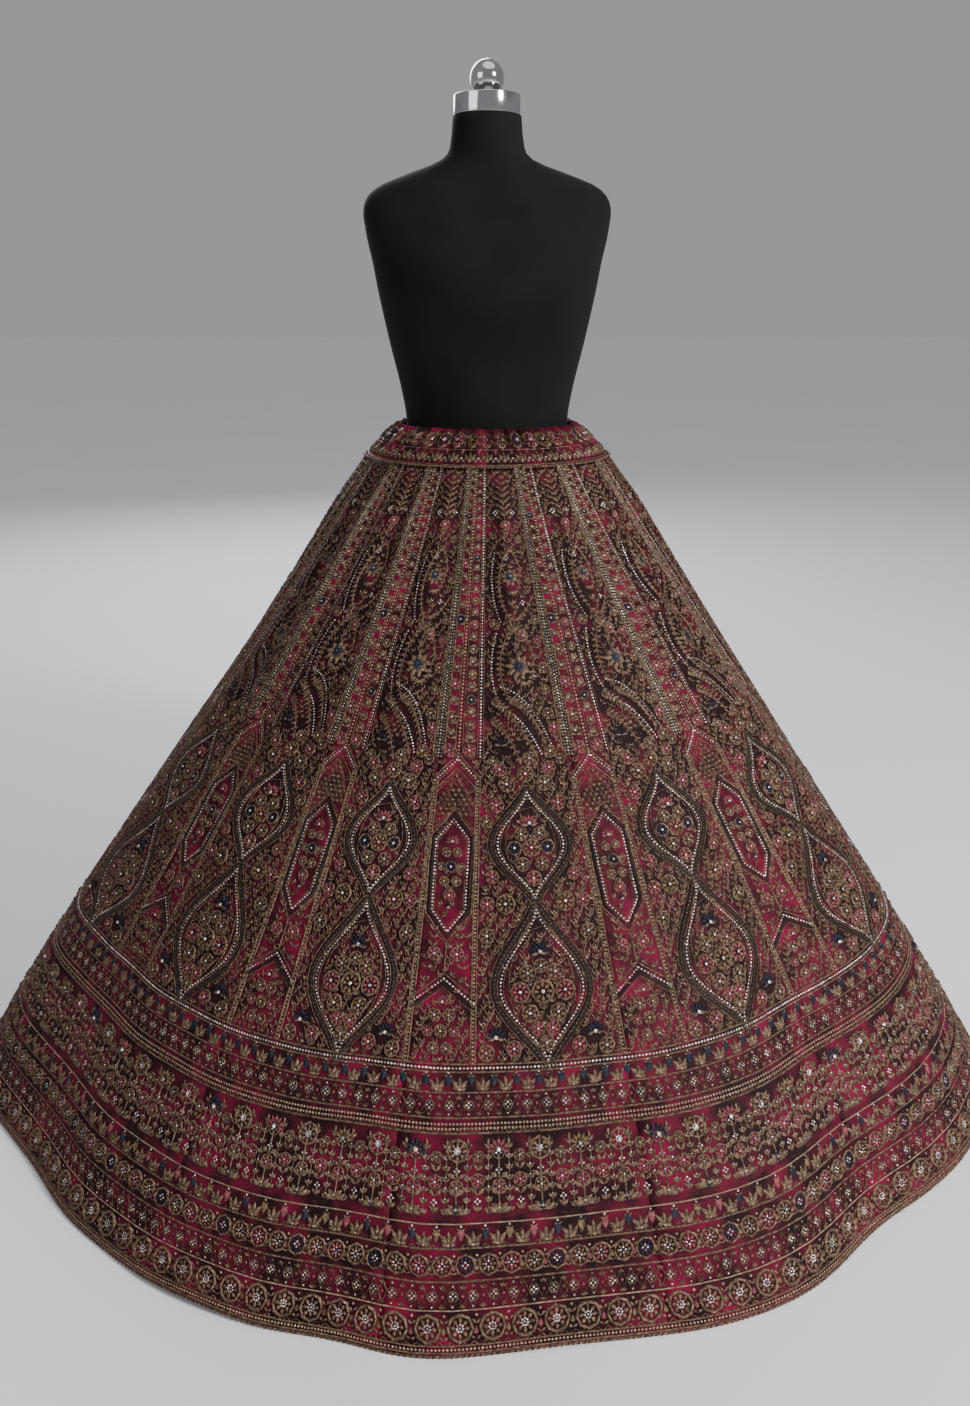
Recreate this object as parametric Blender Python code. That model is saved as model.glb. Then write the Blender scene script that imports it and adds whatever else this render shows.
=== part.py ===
"""A sixteen-kali lehenga skirt of embroidered velvet, standing on a dress form.

Metres, +Z up, front towards -Y. The origin is the middle of the stand's foot,
on the floor. The skirt is an open tube of cloth walls: sixteen flared kali
panels, a gathered waistband, a cord on the waist seam and a piped hem.
"""
import math

import bpy

# The cloth and its seams
CLOTH = 0.0025
BAND_CLOTH = 0.003
SEAM_GAP = 0.0003
CORD_CLEARANCE = 0.0005

# The skirt's cut: 16 panels, and the columns and rows of one panel
PANELS = 16
COLUMNS = 12
PANEL_ROWS = (0.0, 0.03, 0.07, 0.13, 0.21, 0.31, 0.42, 0.55, 0.69, 0.84, 0.94, 1.0)
BAND_ROWS = (0.0, 0.30, 0.62, 1.0)

# Where each panel starts, in degrees from the front towards the right: the front
# ones lie as they were spread, and the rest share the way round evenly
FRONT_SEAMS = (-72.5, -49.5, -28.3, -8.3, 14.0, 36.2, 62.0)
BACK_PANELS = PANELS - len(FRONT_SEAMS) + 1
BACK_PITCH = (360.0 - FRONT_SEAMS[-1] + FRONT_SEAMS[0]) / BACK_PANELS

# The skirt's heights and the half widths that go with them
SEAM_HEIGHT = 0.814
SEAM_HALF_WIDTH = 0.174
SEAM_DEPTH_SHARE = 0.905
BAND_TOP_HEIGHT = 0.858
BAND_TOP_HALF_WIDTH = 0.1259
BAND_TOP_DEPTH_SHARE = 0.822
BAND_SWELL = 0.004
PIPING_DIAMETER = 0.005
PIPING_SIDES = 6
WAIST_CORD_DIAMETER = 0.004
WAIST_CORD_SIDES = 5
HEM_HEIGHT = PIPING_DIAMETER + SEAM_GAP

# Share of the height below the waist seam, half width there, and how far the
# plan draws in at the sides and the back, where the cloth is less spread
SKIRT_PROFILE = (
    # share, half_width, draw_in
    (0.000, 0.1740, 0.000),
    (0.145, 0.2600, 0.045),
    (0.325, 0.3700, 0.070),
    (0.520, 0.5000, 0.100),
    (0.717, 0.6280, 0.125),
    (0.870, 0.7180, 0.120),
    (1.000, 0.7860, 0.105),
)
DRAW_IN_LEFT = (62.0, 94.0)
DRAW_IN_RIGHT = (56.0, 92.0)
ROUND_BELOW = 0.35

# Flutes that the gathered waist lets down into the skirt, two to a panel
FLUTES = 2 * PANELS
FLUTE_DEPTH = 0.0066
FLUTE_BACK_GAIN = 0.5
FLUTE_REACH = (0.42, 0.40)

# Broad folds that open towards the hem: each row is one fold
HEM_FOLDS = (
    # turn_deg, width_deg, depth, start
    (-62.0, 8.0, 0.010, 0.30),
    (-49.0, 8.0, -0.012, 0.35),
    (-23.0, 9.0, 0.009, 0.45),
    (-13.0, 4.0, -0.003, 0.60),
    (-5.0, 5.0, 0.006, 0.55),
    (8.0, 7.0, -0.005, 0.55),
    (23.0, 7.0, 0.008, 0.50),
    (37.0, 7.0, -0.013, 0.40),
    (55.0, 9.0, 0.006, 0.35),
    (76.0, 7.0, -0.012, 0.28),
    (92.0, 8.0, 0.013, 0.26),
    (109.0, 8.0, -0.015, 0.20),
    (126.0, 8.0, 0.014, 0.24),
    (143.0, 7.0, -0.017, 0.18),
    (160.0, 8.0, 0.015, 0.22),
    (178.0, 8.0, -0.014, 0.20),
    (-166.0, 8.0, 0.016, 0.24),
    (-148.0, 8.0, -0.016, 0.18),
    (-129.0, 8.0, 0.013, 0.26),
    (-112.0, 7.0, -0.015, 0.22),
    (-95.0, 8.0, 0.014, 0.24),
    (-78.0, 7.0, -0.012, 0.30),
)

# Places where the hem lifts off the floor
HEM_LIFTS = (
    # turn_deg, width_deg, rise
    (-24.0, 6.0, 0.0070),
    (5.5, 4.0, 0.0040),
    (37.0, 5.0, 0.0030),
    (109.0, 6.0, 0.0050),
    (-148.0, 7.0, 0.0060),
)
LIFT_FROM = 0.86

# How far to each side of a point its surface is read, to find which way it faces
FACING_TURN = 0.25
FACING_SHARE = 0.004

# The waistband's gathers, two to a panel
GATHERS = 2 * PANELS
GATHER_DEPTH = 0.0048
GATHER_RISE = 0.0022

# The dress form, from its flat underside to the top of its neck
FORM_SIDES = 32
FORM_STEP = 0.045
FORM_SECTIONS = (
    # height, half_width, half_depth, forward, squareness
    (0.640, 0.1480, 0.1060, 0.000, 2.2),
    (0.665, 0.1540, 0.1110, -0.002, 2.2),
    (0.700, 0.1560, 0.1130, -0.003, 2.2),
    (0.760, 0.1460, 0.1070, -0.003, 2.2),
    (0.815, 0.1270, 0.0980, -0.001, 2.1),
    (0.858, 0.1158, 0.0930, 0.000, 2.0),
    (0.905, 0.1215, 0.0950, 0.002, 2.1),
    (0.965, 0.1350, 0.1010, 0.006, 2.2),
    (1.030, 0.1480, 0.1140, 0.014, 2.2),
    (1.070, 0.1550, 0.1120, 0.013, 2.3),
    (1.110, 0.1640, 0.0980, 0.004, 2.4),
    (1.143, 0.1660, 0.0800, -0.003, 2.5),
    (1.164, 0.1500, 0.0660, -0.006, 2.4),
    (1.180, 0.1120, 0.0570, -0.008, 2.2),
    (1.192, 0.0760, 0.0530, -0.006, 2.0),
    (1.203, 0.0550, 0.0510, -0.003, 2.0),
    (1.220, 0.0485, 0.0480, 0.000, 2.0),
    (1.249, 0.0452, 0.0452, 0.003, 2.0),
)

# The neck cap, its ball and the stand
CAP_SIDES = 32
CAP_RADIUS = 0.0438
CAP_HEIGHT = 0.0245
CAP_EDGE = 0.0012
NECK_FORWARD = 0.003
BALL_RADIUS = 0.0222
BALL_SUNK = 0.0028
BALL_RINGS = 9
BALL_SIDES = 20
BALL_TOP = 86.0
POLE_RADIUS = 0.016
FOOT_SIDES = 40
POLE_SIDES = 20
BASE_RADIUS = 0.170
BASE_HEIGHT = 0.012
BASE_EDGE = 0.004

# Edges sharper than these, in degrees, are left sharp
CLOTH_CREASE = 60.0
CORD_CREASE = 80.0
FORM_CREASE = 50.0
METAL_CREASE = 40.0
BALL_CREASE = 60.0

# Colours, straight from the finished piece
VELVET = (0.105, 0.006, 0.022, 1.0)
ZARI = (0.330, 0.225, 0.120, 1.0)
BLACK_CLOTH = (0.006, 0.006, 0.007, 1.0)
CHROME = (0.720, 0.720, 0.730, 1.0)


def ease(x):
    """Goes from 0 to 1 with no kink at either end."""
    x = min(1.0, max(0.0, x))
    return x * x * (3.0 - 2.0 * x)


def along(rows, share, column):
    """Reads one column of a table of rows at a share, on a smooth curve."""
    last = len(rows) - 2
    i = 0
    while i < last and share > rows[i + 1][0]:
        i += 1
    p1, p2 = rows[i], rows[i + 1]
    p0 = rows[max(i - 1, 0)]
    p3 = rows[min(i + 2, last + 1)]
    step = p2[0] - p1[0]
    f = (share - p1[0]) / step
    m1 = (p2[column] - p0[column]) / (p2[0] - p0[0]) * step
    m2 = (p3[column] - p1[column]) / (p3[0] - p1[0]) * step
    return (
        (2 * f**3 - 3 * f**2 + 1) * p1[column]
        + (f**3 - 2 * f**2 + f) * m1
        + (3 * f**2 - 2 * f**3) * p2[column]
        + (f**3 - f**2) * m2
    )


def turn_between(turn, centre):
    """Angle from centre to turn, in degrees, the short way round."""
    return (turn - centre + 180.0) % 360.0 - 180.0


def oval(turn, half_width, depth_share):
    """Distance from the axis to an oval of that half width, at an angle."""
    across = math.sin(math.radians(turn))
    forward = math.cos(math.radians(turn)) / depth_share
    return half_width / math.hypot(across, forward)


def varied(number, low, high):
    """A value between low and high that differs from one fold to the next."""
    return low + (high - low) * ((number * 0.618034 + 0.27) % 1.0)


def backness(turn):
    """0 over the spread front of the skirt, 1 at its back."""
    return ease((abs(turn_between(turn, 0.0)) - 60.0) / 60.0)


def draw_in(turn, share):
    """How much of the half width is left at the sides and the back."""
    side = turn_between(turn, 0.0)
    start, end = DRAW_IN_RIGHT if side > 0 else DRAW_IN_LEFT
    return 1.0 - along(SKIRT_PROFILE, share, 2) * ease((abs(side) - start) / (end - start))


def flutes(turn, share):
    """Outward reach of the flutes below the waist seam."""
    pitch = 360.0 / FLUTES
    place = (turn % 360.0) / pitch
    number = int(place)
    ridge = 0.5 - 0.5 * math.cos(2.0 * math.pi * (place - number))
    first, spread = FLUTE_REACH
    reach = varied(number, first, first + spread)
    depth = FLUTE_DEPTH * varied(number * 3 + 1, 0.55, 1.25)
    depth *= 1.0 + FLUTE_BACK_GAIN * backness(turn)
    grow = 0.12 + 0.88 * ease(share / 0.09)
    fade = 1.0 - 0.85 * ease((share - 0.10) / reach)
    return depth * grow * fade * ridge


def hem_folds(turn, share):
    """Outward reach of the broad folds that open towards the hem."""
    reach = 0.0
    for centre, width, depth, start in HEM_FOLDS:
        near = turn_between(turn, centre) / width
        if abs(near) < 3.0:
            reach += depth * math.exp(-near * near) * ease((share - start) / (1.0 - start))
    return reach


def hem_lift(turn, share):
    """Height of the hem above the floor, fading out up the skirt."""
    rise = 0.0
    for centre, width, height in HEM_LIFTS:
        near = turn_between(turn, centre) / width
        rise += height * math.exp(-near * near)
    return rise * ease((share - LIFT_FROM) / (1.0 - LIFT_FROM))


def skirt_point(turn, share):
    """Outer face of the skirt at an angle from the front and a share of its height."""
    depth_share = SEAM_DEPTH_SHARE + (1.0 - SEAM_DEPTH_SHARE) * ease(share / ROUND_BELOW)
    reach = oval(turn, along(SKIRT_PROFILE, share, 1), depth_share)
    reach = reach * draw_in(turn, share) + flutes(turn, share) + hem_folds(turn, share)
    height = SEAM_HEIGHT + (HEM_HEIGHT - SEAM_HEIGHT) * share + hem_lift(turn, share)
    angle = math.radians(turn)
    return (reach * math.sin(angle), -reach * math.cos(angle), height)


def band_point(turn, share):
    """Outer face of the waistband, from the waist seam up to its gathered edge."""
    half_width = SEAM_HALF_WIDTH + (BAND_TOP_HALF_WIDTH - SEAM_HALF_WIDTH) * share
    depth_share = SEAM_DEPTH_SHARE + (BAND_TOP_DEPTH_SHARE - SEAM_DEPTH_SHARE) * share
    place = (turn % 360.0) / (360.0 / GATHERS)
    number = int(place)
    crest = 0.5 - 0.5 * math.cos(2.0 * math.pi * (place - number))
    depth = GATHER_DEPTH * varied(number * 5 + 2, 0.72, 1.1)
    reach = oval(turn, half_width, depth_share) + BAND_SWELL * math.sin(math.pi * share)
    reach += 2.0 * depth * crest * ease(share * 1.1) - GATHER_DEPTH * ease(share * 1.1)
    height = SEAM_HEIGHT + (BAND_TOP_HEIGHT - SEAM_HEIGHT) * share
    height += SEAM_GAP * (1.0 - share) + GATHER_RISE * crest * varied(number, 0.4, 1.4) * share**3
    angle = math.radians(turn)
    return (reach * math.sin(angle), -reach * math.cos(angle), height)


def lean_out(surface, turn, share):
    """The outward normal of a surface, from points a little to each side of it."""
    low = max(0.0, share - FACING_SHARE)
    high = min(1.0, share + FACING_SHARE)
    a = surface(turn - FACING_TURN, share)
    b = surface(turn + FACING_TURN, share)
    c = surface(turn, low)
    d = surface(turn, high)
    across = [b[k] - a[k] for k in range(3)]
    down = [d[k] - c[k] for k in range(3)]
    normal = (
        across[1] * down[2] - across[2] * down[1],
        across[2] * down[0] - across[0] * down[2],
        across[0] * down[1] - across[1] * down[0],
    )
    size = math.sqrt(sum(v * v for v in normal))
    point = surface(turn, share)
    sign = 1.0 if normal[0] * point[0] + normal[1] * point[1] > 0 else -1.0
    return tuple(sign * v / size for v in normal)


def moved_out(surface, turn, share, distance):
    """A surface's point, moved along its normal: inwards where distance is negative."""
    point = surface(turn, share)
    normal = lean_out(surface, turn, share)
    return tuple(p + distance * n for p, n in zip(point, normal))


def wall_point(surface, turn, share, thickness):
    """A point that far behind the outer face: level with it along the cloth's edges."""
    if 0.0 < share < 1.0:
        return moved_out(surface, turn, share, -thickness)
    normal = lean_out(surface, turn, share)
    point = surface(turn, share)
    level = thickness / (normal[0] * normal[0] + normal[1] * normal[1])
    return (point[0] - level * normal[0], point[1] - level * normal[1], point[2])


def finish(name, verts, faces, material, smooth_angle):
    """Makes one named object from points and faces, smooth but for its sharp edges."""
    mesh = bpy.data.meshes.new(name)
    mesh.from_pydata(verts, [], faces)
    mesh.validate()
    mesh.materials.append(material)
    mesh.shade_smooth()
    mesh.set_sharp_from_angle(angle=math.radians(smooth_angle))
    made = bpy.data.objects.new(name, mesh)
    bpy.context.scene.collection.objects.link(made)
    return made


def finish_material(name, colour, roughness, metallic):
    """A Principled material of one colour."""
    made = bpy.data.materials.new(name)
    made.use_nodes = True
    shader = made.node_tree.nodes["Principled BSDF"]
    shader.inputs["Base Color"].default_value = colour
    shader.inputs["Roughness"].default_value = roughness
    shader.inputs["Metallic"].default_value = metallic
    return made


def seam_turn(number):
    """The turn of the seam at the left of a panel, and past 360 for the last one's right."""
    lap, place = divmod(number, PANELS)
    if place < len(FRONT_SEAMS):
        return 360.0 * lap + FRONT_SEAMS[place]
    return 360.0 * lap + FRONT_SEAMS[-1] + BACK_PITCH * (place - len(FRONT_SEAMS) + 1)


def level_hem(hem, verts):
    """Sets every second hem point between its neighbours, as straight as the piping under it."""
    for column in range(1, len(hem) - 1, 2):
        x, y, _ = hem[column]
        verts[column - len(hem)] = (x, y, (hem[column - 1][2] + hem[column + 1][2]) / 2.0)


def kali_panel(number, material):
    """One flared panel: an outer and an inner face joined round the four edges."""
    start = seam_turn(number)
    pitch = seam_turn(number + 1) - start
    rows = len(PANEL_ROWS)
    wide = COLUMNS + 1
    verts = []
    for thickness in (0.0, CLOTH):
        for share in PANEL_ROWS:
            reach = along(SKIRT_PROFILE, share, 1) * draw_in(start, share)
            trim = math.degrees(0.5 * SEAM_GAP / reach)
            for column in range(wide):
                turn = start + trim + (pitch - 2.0 * trim) * column / COLUMNS
                verts.append(wall_point(skirt_point, turn, share, thickness))
        level_hem(verts[-wide:], verts)
    inner = rows * wide
    faces = []
    for r in range(rows - 1):
        for c in range(COLUMNS):
            a = r * wide + c
            b = a + wide
            faces.append((a, b, b + 1, a + 1))
            faces.append((inner + a, inner + a + 1, inner + b + 1, inner + b))
    for c in range(COLUMNS):
        top = c
        low = (rows - 1) * wide + c
        faces.append((top, top + 1, inner + top + 1, inner + top))
        faces.append((low + 1, low, inner + low, inner + low + 1))
    for r in range(rows - 1):
        a, b = r * wide, (r + 1) * wide
        c, d = a + COLUMNS, b + COLUMNS
        faces.append((b, a, inner + a))
        faces.append((b, inner + a, inner + b))
        faces.append((c, d, inner + c))
        faces.append((d, inner + d, inner + c))
    return finish("kali_%02d" % (number + 1), verts, faces, material, CLOTH_CREASE)


def closed_wall(name, surface, shares, thickness, count, material):
    """A wall that runs all round, such as the waistband."""
    rows = len(shares)
    verts = []
    for depth in (0.0, thickness):
        for share in shares:
            for k in range(count):
                turn = 360.0 * k / count
                verts.append(wall_point(surface, turn, share, depth))
    inner = rows * count
    faces = []
    for k in range(count):
        n = (k + 1) % count
        for r in range(rows - 1):
            a, b = r * count + k, r * count + n
            c, d = a + count, b + count
            faces.append((a, b, d, c))
            faces.append((inner + a, inner + c, inner + d, inner + b))
        last = (rows - 1) * count
        faces.append((k, inner + k, inner + n, n))
        faces.append((last + k, last + n, inner + last + n, inner + last + k))
    return finish(name, verts, faces, material, CLOTH_CREASE)


def ring_tube(name, centres, outward, radius, sides, material):
    """A closed round tube through a ring of centres, each with its outward direction."""
    count = len(centres)
    verts = []
    for centre, out in zip(centres, outward):
        for s in range(sides):
            spin = 2.0 * math.pi * (s + 0.5) / sides
            wide = radius * math.cos(spin)
            high = radius * math.sin(spin)
            verts.append((centre[0] + out[0] * wide, centre[1] + out[1] * wide, centre[2] + high))
    faces = []
    for k in range(count):
        n = (k + 1) % count
        for s in range(sides):
            t = (s + 1) % sides
            faces.append((k * sides + s, n * sides + s, n * sides + t, k * sides + t))
    return finish(name, verts, faces, material, CORD_CREASE)


def hem_piping(material):
    """The piped hem edge, under the panels and resting on the floor."""
    step = COLUMNS // 2
    radius = PIPING_DIAMETER / 2.0
    centres, outward = [], []
    for k in range(PANELS * step):
        start, end = seam_turn(k // step), seam_turn(k // step + 1)
        turn = start + (end - start) * (k % step) / step
        point = wall_point(skirt_point, turn, 1.0, CLOTH / 2.0)
        angle = math.radians(turn)
        centres.append((point[0], point[1], radius + hem_lift(turn, 1.0)))
        outward.append((math.sin(angle), -math.cos(angle)))
    return ring_tube("hem_piping", centres, outward, radius, PIPING_SIDES, material)


def waist_cord(material):
    """The cord that lies on the waist seam, just clear of the cloth under it."""
    count = PANELS * COLUMNS // 2
    radius = WAIST_CORD_DIAMETER / 2.0
    centres, outward = [], []
    for k in range(count):
        turn = 360.0 * k / count
        point = moved_out(skirt_point, turn, 0.0, radius + CORD_CLEARANCE)
        angle = math.radians(turn)
        centres.append(point)
        outward.append((math.sin(angle), -math.cos(angle)))
    return ring_tube("waist_cord", centres, outward, radius, WAIST_CORD_SIDES, material)


def form_torso(material):
    """The limbless form: smooth sections from its flat underside to its neck."""
    heights = []
    for low, high in zip(FORM_SECTIONS, FORM_SECTIONS[1:]):
        heights.append(low[0])
        if high[0] - low[0] > FORM_STEP:
            heights.append((low[0] + high[0]) / 2.0)
    heights.append(FORM_SECTIONS[-1][0])
    verts = []
    for height in heights:
        half_width = along(FORM_SECTIONS, height, 1)
        half_depth = along(FORM_SECTIONS, height, 2)
        forward = along(FORM_SECTIONS, height, 3)
        power = 2.0 / along(FORM_SECTIONS, height, 4)
        for k in range(FORM_SIDES):
            angle = 2.0 * math.pi * k / FORM_SIDES
            s, c = math.sin(angle), math.cos(angle)
            x = half_width * math.copysign(abs(s) ** power, s)
            y = half_depth * math.copysign(abs(c) ** power, c)
            verts.append((x, -y - forward, height))
    faces = []
    for r in range(len(heights) - 1):
        for k in range(FORM_SIDES):
            n = (k + 1) % FORM_SIDES
            a = r * FORM_SIDES
            faces.append((a + k, a + n, a + FORM_SIDES + n, a + FORM_SIDES + k))
    faces.append(tuple(reversed(range(FORM_SIDES))))
    top = (len(heights) - 1) * FORM_SIDES
    faces.append(tuple(top + k for k in range(FORM_SIDES)))
    return finish("form_torso", verts, faces, material, FORM_CREASE)


def turned(name, outline, sides, centre, material, smooth_angle=METAL_CREASE):
    """A solid turned about an upright axis, from an outline of radius and height."""
    verts = []
    for radius, height in outline:
        for k in range(sides):
            angle = 2.0 * math.pi * k / sides
            x = centre[0] + radius * math.sin(angle)
            y = centre[1] - radius * math.cos(angle)
            verts.append((x, y, height))
    faces = []
    for r in range(len(outline) - 1):
        for k in range(sides):
            n = (k + 1) % sides
            a = r * sides
            faces.append((a + k, a + n, a + sides + n, a + sides + k))
    faces.append(tuple(reversed(range(sides))))
    top = (len(outline) - 1) * sides
    faces.append(tuple(top + k for k in range(sides)))
    return finish(name, verts, faces, material, smooth_angle)


def neck_cap_and_ball(material):
    """The round metal cap on the neck, and the ball seated on it."""
    centre = (0.0, -NECK_FORWARD)
    low = FORM_SECTIONS[-1][0] + SEAM_GAP
    high = low + CAP_HEIGHT
    edge = CAP_RADIUS - CAP_EDGE
    cap = (
        (edge, low),
        (CAP_RADIUS, low + CAP_EDGE),
        (CAP_RADIUS, high - CAP_EDGE),
        (edge, high),
    )
    turned("form_neck_cap", cap, CAP_SIDES, centre, material)
    middle = high + SEAM_GAP + BALL_RADIUS - BALL_SUNK
    start = math.asin(-(BALL_RADIUS - BALL_SUNK) / BALL_RADIUS)
    ball = []
    for k in range(BALL_RINGS + 1):
        angle = start + (math.radians(BALL_TOP) - start) * k / BALL_RINGS
        ball.append((BALL_RADIUS * math.cos(angle), middle + BALL_RADIUS * math.sin(angle)))
    turned("form_ball", ball, BALL_SIDES, centre, material, BALL_CREASE)


def stand(material):
    """The pole under the form and the round foot that it stands on."""
    foot = (
        (BASE_RADIUS, 0.0),
        (BASE_RADIUS, BASE_HEIGHT - BASE_EDGE),
        (BASE_RADIUS - BASE_EDGE, BASE_HEIGHT),
    )
    turned("stand_foot", foot, FOOT_SIDES, (0.0, 0.0), material)
    low = BASE_HEIGHT + SEAM_GAP
    high = FORM_SECTIONS[0][0] - SEAM_GAP
    turned("stand_pole", ((POLE_RADIUS, low), (POLE_RADIUS, high)), POLE_SIDES, (0.0, 0.0), material)


for old in list(bpy.data.objects):
    bpy.data.objects.remove(old)

velvet = finish_material("velvet", VELVET, 0.7, 0.0)
zari = finish_material("zari", ZARI, 0.45, 0.6)
black_cloth = finish_material("black_cloth", BLACK_CLOTH, 0.8, 0.0)
chrome = finish_material("chrome", CHROME, 0.12, 1.0)

for panel in range(PANELS):
    kali_panel(panel, velvet)
closed_wall("waistband", band_point, BAND_ROWS, BAND_CLOTH, PANELS * COLUMNS, velvet)
waist_cord(zari)
hem_piping(zari)
form_torso(black_cloth)
neck_cap_and_ball(chrome)
stand(chrome)
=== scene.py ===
import math

import bpy
import numpy as np
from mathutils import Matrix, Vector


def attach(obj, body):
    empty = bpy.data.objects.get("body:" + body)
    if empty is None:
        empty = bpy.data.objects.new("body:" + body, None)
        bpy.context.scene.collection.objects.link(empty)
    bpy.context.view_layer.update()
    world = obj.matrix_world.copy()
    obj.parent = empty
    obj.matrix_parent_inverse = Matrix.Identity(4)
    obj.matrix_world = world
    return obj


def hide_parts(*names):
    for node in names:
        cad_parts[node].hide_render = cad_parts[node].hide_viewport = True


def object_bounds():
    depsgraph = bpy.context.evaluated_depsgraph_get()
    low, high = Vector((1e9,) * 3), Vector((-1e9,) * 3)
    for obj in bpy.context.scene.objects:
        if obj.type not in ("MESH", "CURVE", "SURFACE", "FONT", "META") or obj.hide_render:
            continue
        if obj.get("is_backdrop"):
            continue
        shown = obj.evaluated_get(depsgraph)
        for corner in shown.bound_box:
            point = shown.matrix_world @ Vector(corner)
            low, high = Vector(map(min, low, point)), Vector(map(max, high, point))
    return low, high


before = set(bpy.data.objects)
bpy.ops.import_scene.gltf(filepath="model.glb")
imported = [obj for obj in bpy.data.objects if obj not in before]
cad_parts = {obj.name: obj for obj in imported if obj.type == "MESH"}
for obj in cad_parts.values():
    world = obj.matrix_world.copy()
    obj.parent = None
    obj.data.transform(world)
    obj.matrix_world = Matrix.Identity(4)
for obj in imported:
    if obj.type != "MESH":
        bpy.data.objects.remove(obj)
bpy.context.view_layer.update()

# The camera
# It stands in front of the form, as high as its chest, and looks down at the skirt.
# The form's axis is just right of the middle.
PHOTO_HEIGHT_PIXELS = 1406
FOCAL_LENGTH_PIXELS = 1077.0
SENSOR = 36.0
CAMERA_PLACE = (-0.0028, -1.5965, 1.009)
CAMERA_PITCH = 20.0

camera_data = bpy.data.cameras.new("camera")
camera_data.sensor_width = SENSOR
camera_data.lens = FOCAL_LENGTH_PIXELS / PHOTO_HEIGHT_PIXELS * SENSOR
camera = bpy.data.objects.new("camera", camera_data)
camera.location = CAMERA_PLACE
camera.rotation_euler = (math.radians(90.0 - CAMERA_PITCH), 0.0, 0.0)
bpy.context.scene.collection.objects.link(camera)
bpy.context.scene.camera = camera


# The studio
# A plain pale floor under a pale sky of light, a soft lamp high on the right, weaker
# ones on the left and behind, and an even light from the ceiling.
FLOOR_SIDE = 90.0
FLOOR_COLOUR = (0.58, 0.58, 0.595, 1.0)
FLOOR_CLOUD = 0.97
SKY_COLOUR = (0.80, 0.81, 0.84, 1.0)
SKY_STRENGTH = 0.42
LAMPS = (
    # name, kind, place, aimed_at, side or angle, power
    ("key_lamp", "AREA", (2.7, -2.4, 2.4), (0.10, -0.2, 0.40), 0.7, 280.0),
    ("fill_lamp", "AREA", (-2.8, -2.4, 1.9), (0.0, -0.1, 0.5), 2.0, 34.0),
    ("back_lamp", "AREA", (-0.9, 3.3, 2.6), (0.0, 0.1, 0.5), 2.0, 130.0),
    ("ceiling_light", "SUN", (0.6, -1.0, 4.0), (0.0, 0.0, 0.0), 1.0, 0.9),
)


def fill(tree, made, sockets):
    """Sets a node's sockets to values, or links them to the sockets of other nodes."""
    for name, value in sockets.items():
        if isinstance(value, bpy.types.NodeSocket):
            tree.links.new(value, made.inputs[name])
        else:
            made.inputs[name].default_value = value


def node(tree, kind, settings=None, inputs=None):
    """A node with its settings and its sockets."""
    made = tree.nodes.new(kind)
    for name, value in (settings or {}).items():
        setattr(made, name, value)
    fill(tree, made, inputs or {})
    return made


def own_place(tree):
    """A place in the piece's own space."""
    return node(tree, "ShaderNodeTexCoord").outputs["Object"]


def ramp(tree, value, stops):
    """A colour ramp through (place, colour) stops."""
    made = node(tree, "ShaderNodeValToRGB", inputs={"Fac": value})
    band = made.color_ramp
    while len(band.elements) < len(stops):
        band.elements.new(0.5)
    for element, (place, colour) in zip(band.elements, stops):
        element.position = place
        element.color = colour
    return made.outputs["Color"]


def maths(tree, operation, first, second=0.5):
    """One sum, product or comparison of two values."""
    made = node(tree, "ShaderNodeMath", {"operation": operation}, {0: first, 1: second})
    return made.outputs["Value"]


def noise(tree, place, scale, detail):
    """An even noise between 0 and 1."""
    sockets = {"Vector": place, "Scale": scale, "Detail": detail}
    return node(tree, "ShaderNodeTexNoise", inputs=sockets).outputs["Fac"]


def summed(tree, first, first_share, second, second_share):
    """The sum of two values, each taken at its share."""
    return maths(tree, "ADD", maths(tree, "MULTIPLY", first, first_share),
                 maths(tree, "MULTIPLY", second, second_share))


def blended(tree, share, first, second):
    """A colour between two, by a share."""
    made = node(tree, "ShaderNodeMix", {"data_type": "RGBA"}, {0: share, 6: first, 7: second})
    return made.outputs[2]


def new_material(name):
    """A material with its tree and its Principled shader."""
    made = bpy.data.materials.new(name)
    made.use_nodes = True
    return made, made.node_tree, made.node_tree.nodes["Principled BSDF"]


def bump(tree, shader, height, strength, distance):
    """Raises a surface by a height texture."""
    sockets = {"Height": height, "Strength": strength, "Distance": distance}
    made = node(tree, "ShaderNodeBump", inputs=sockets)
    fill(tree, shader, {"Normal": made.outputs["Normal"]})


def floor_material():
    """Matt pale flooring with a faint cloudiness."""
    made, tree, shader = new_material("pale_floor")
    place = own_place(tree)
    cloud = noise(tree, place, 1.5, 2.0)
    darker = tuple(FLOOR_CLOUD * c for c in FLOOR_COLOUR[:3]) + (1.0,)
    colour = ramp(tree, cloud, ((0.3, darker), (0.7, FLOOR_COLOUR)))
    fill(tree, shader, {"Base Color": colour, "Roughness": 0.6, "Specular IOR Level": 0.25})
    return made


half = FLOOR_SIDE / 2.0
floor_mesh = bpy.data.meshes.new("floor")
floor_mesh.from_pydata(
    [(-half, -half, 0.0), (half, -half, 0.0), (half, half, 0.0), (-half, half, 0.0)],
    [],
    [(0, 1, 2, 3)],
)
floor_mesh.materials.append(floor_material())
floor = bpy.data.objects.new("floor", floor_mesh)
bpy.context.scene.collection.objects.link(floor)
floor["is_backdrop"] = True

sky = bpy.data.worlds.new("sky")
sky.use_nodes = True
sky.node_tree.nodes["Background"].inputs["Color"].default_value = SKY_COLOUR
sky.node_tree.nodes["Background"].inputs["Strength"].default_value = SKY_STRENGTH
bpy.context.scene.world = sky

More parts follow.
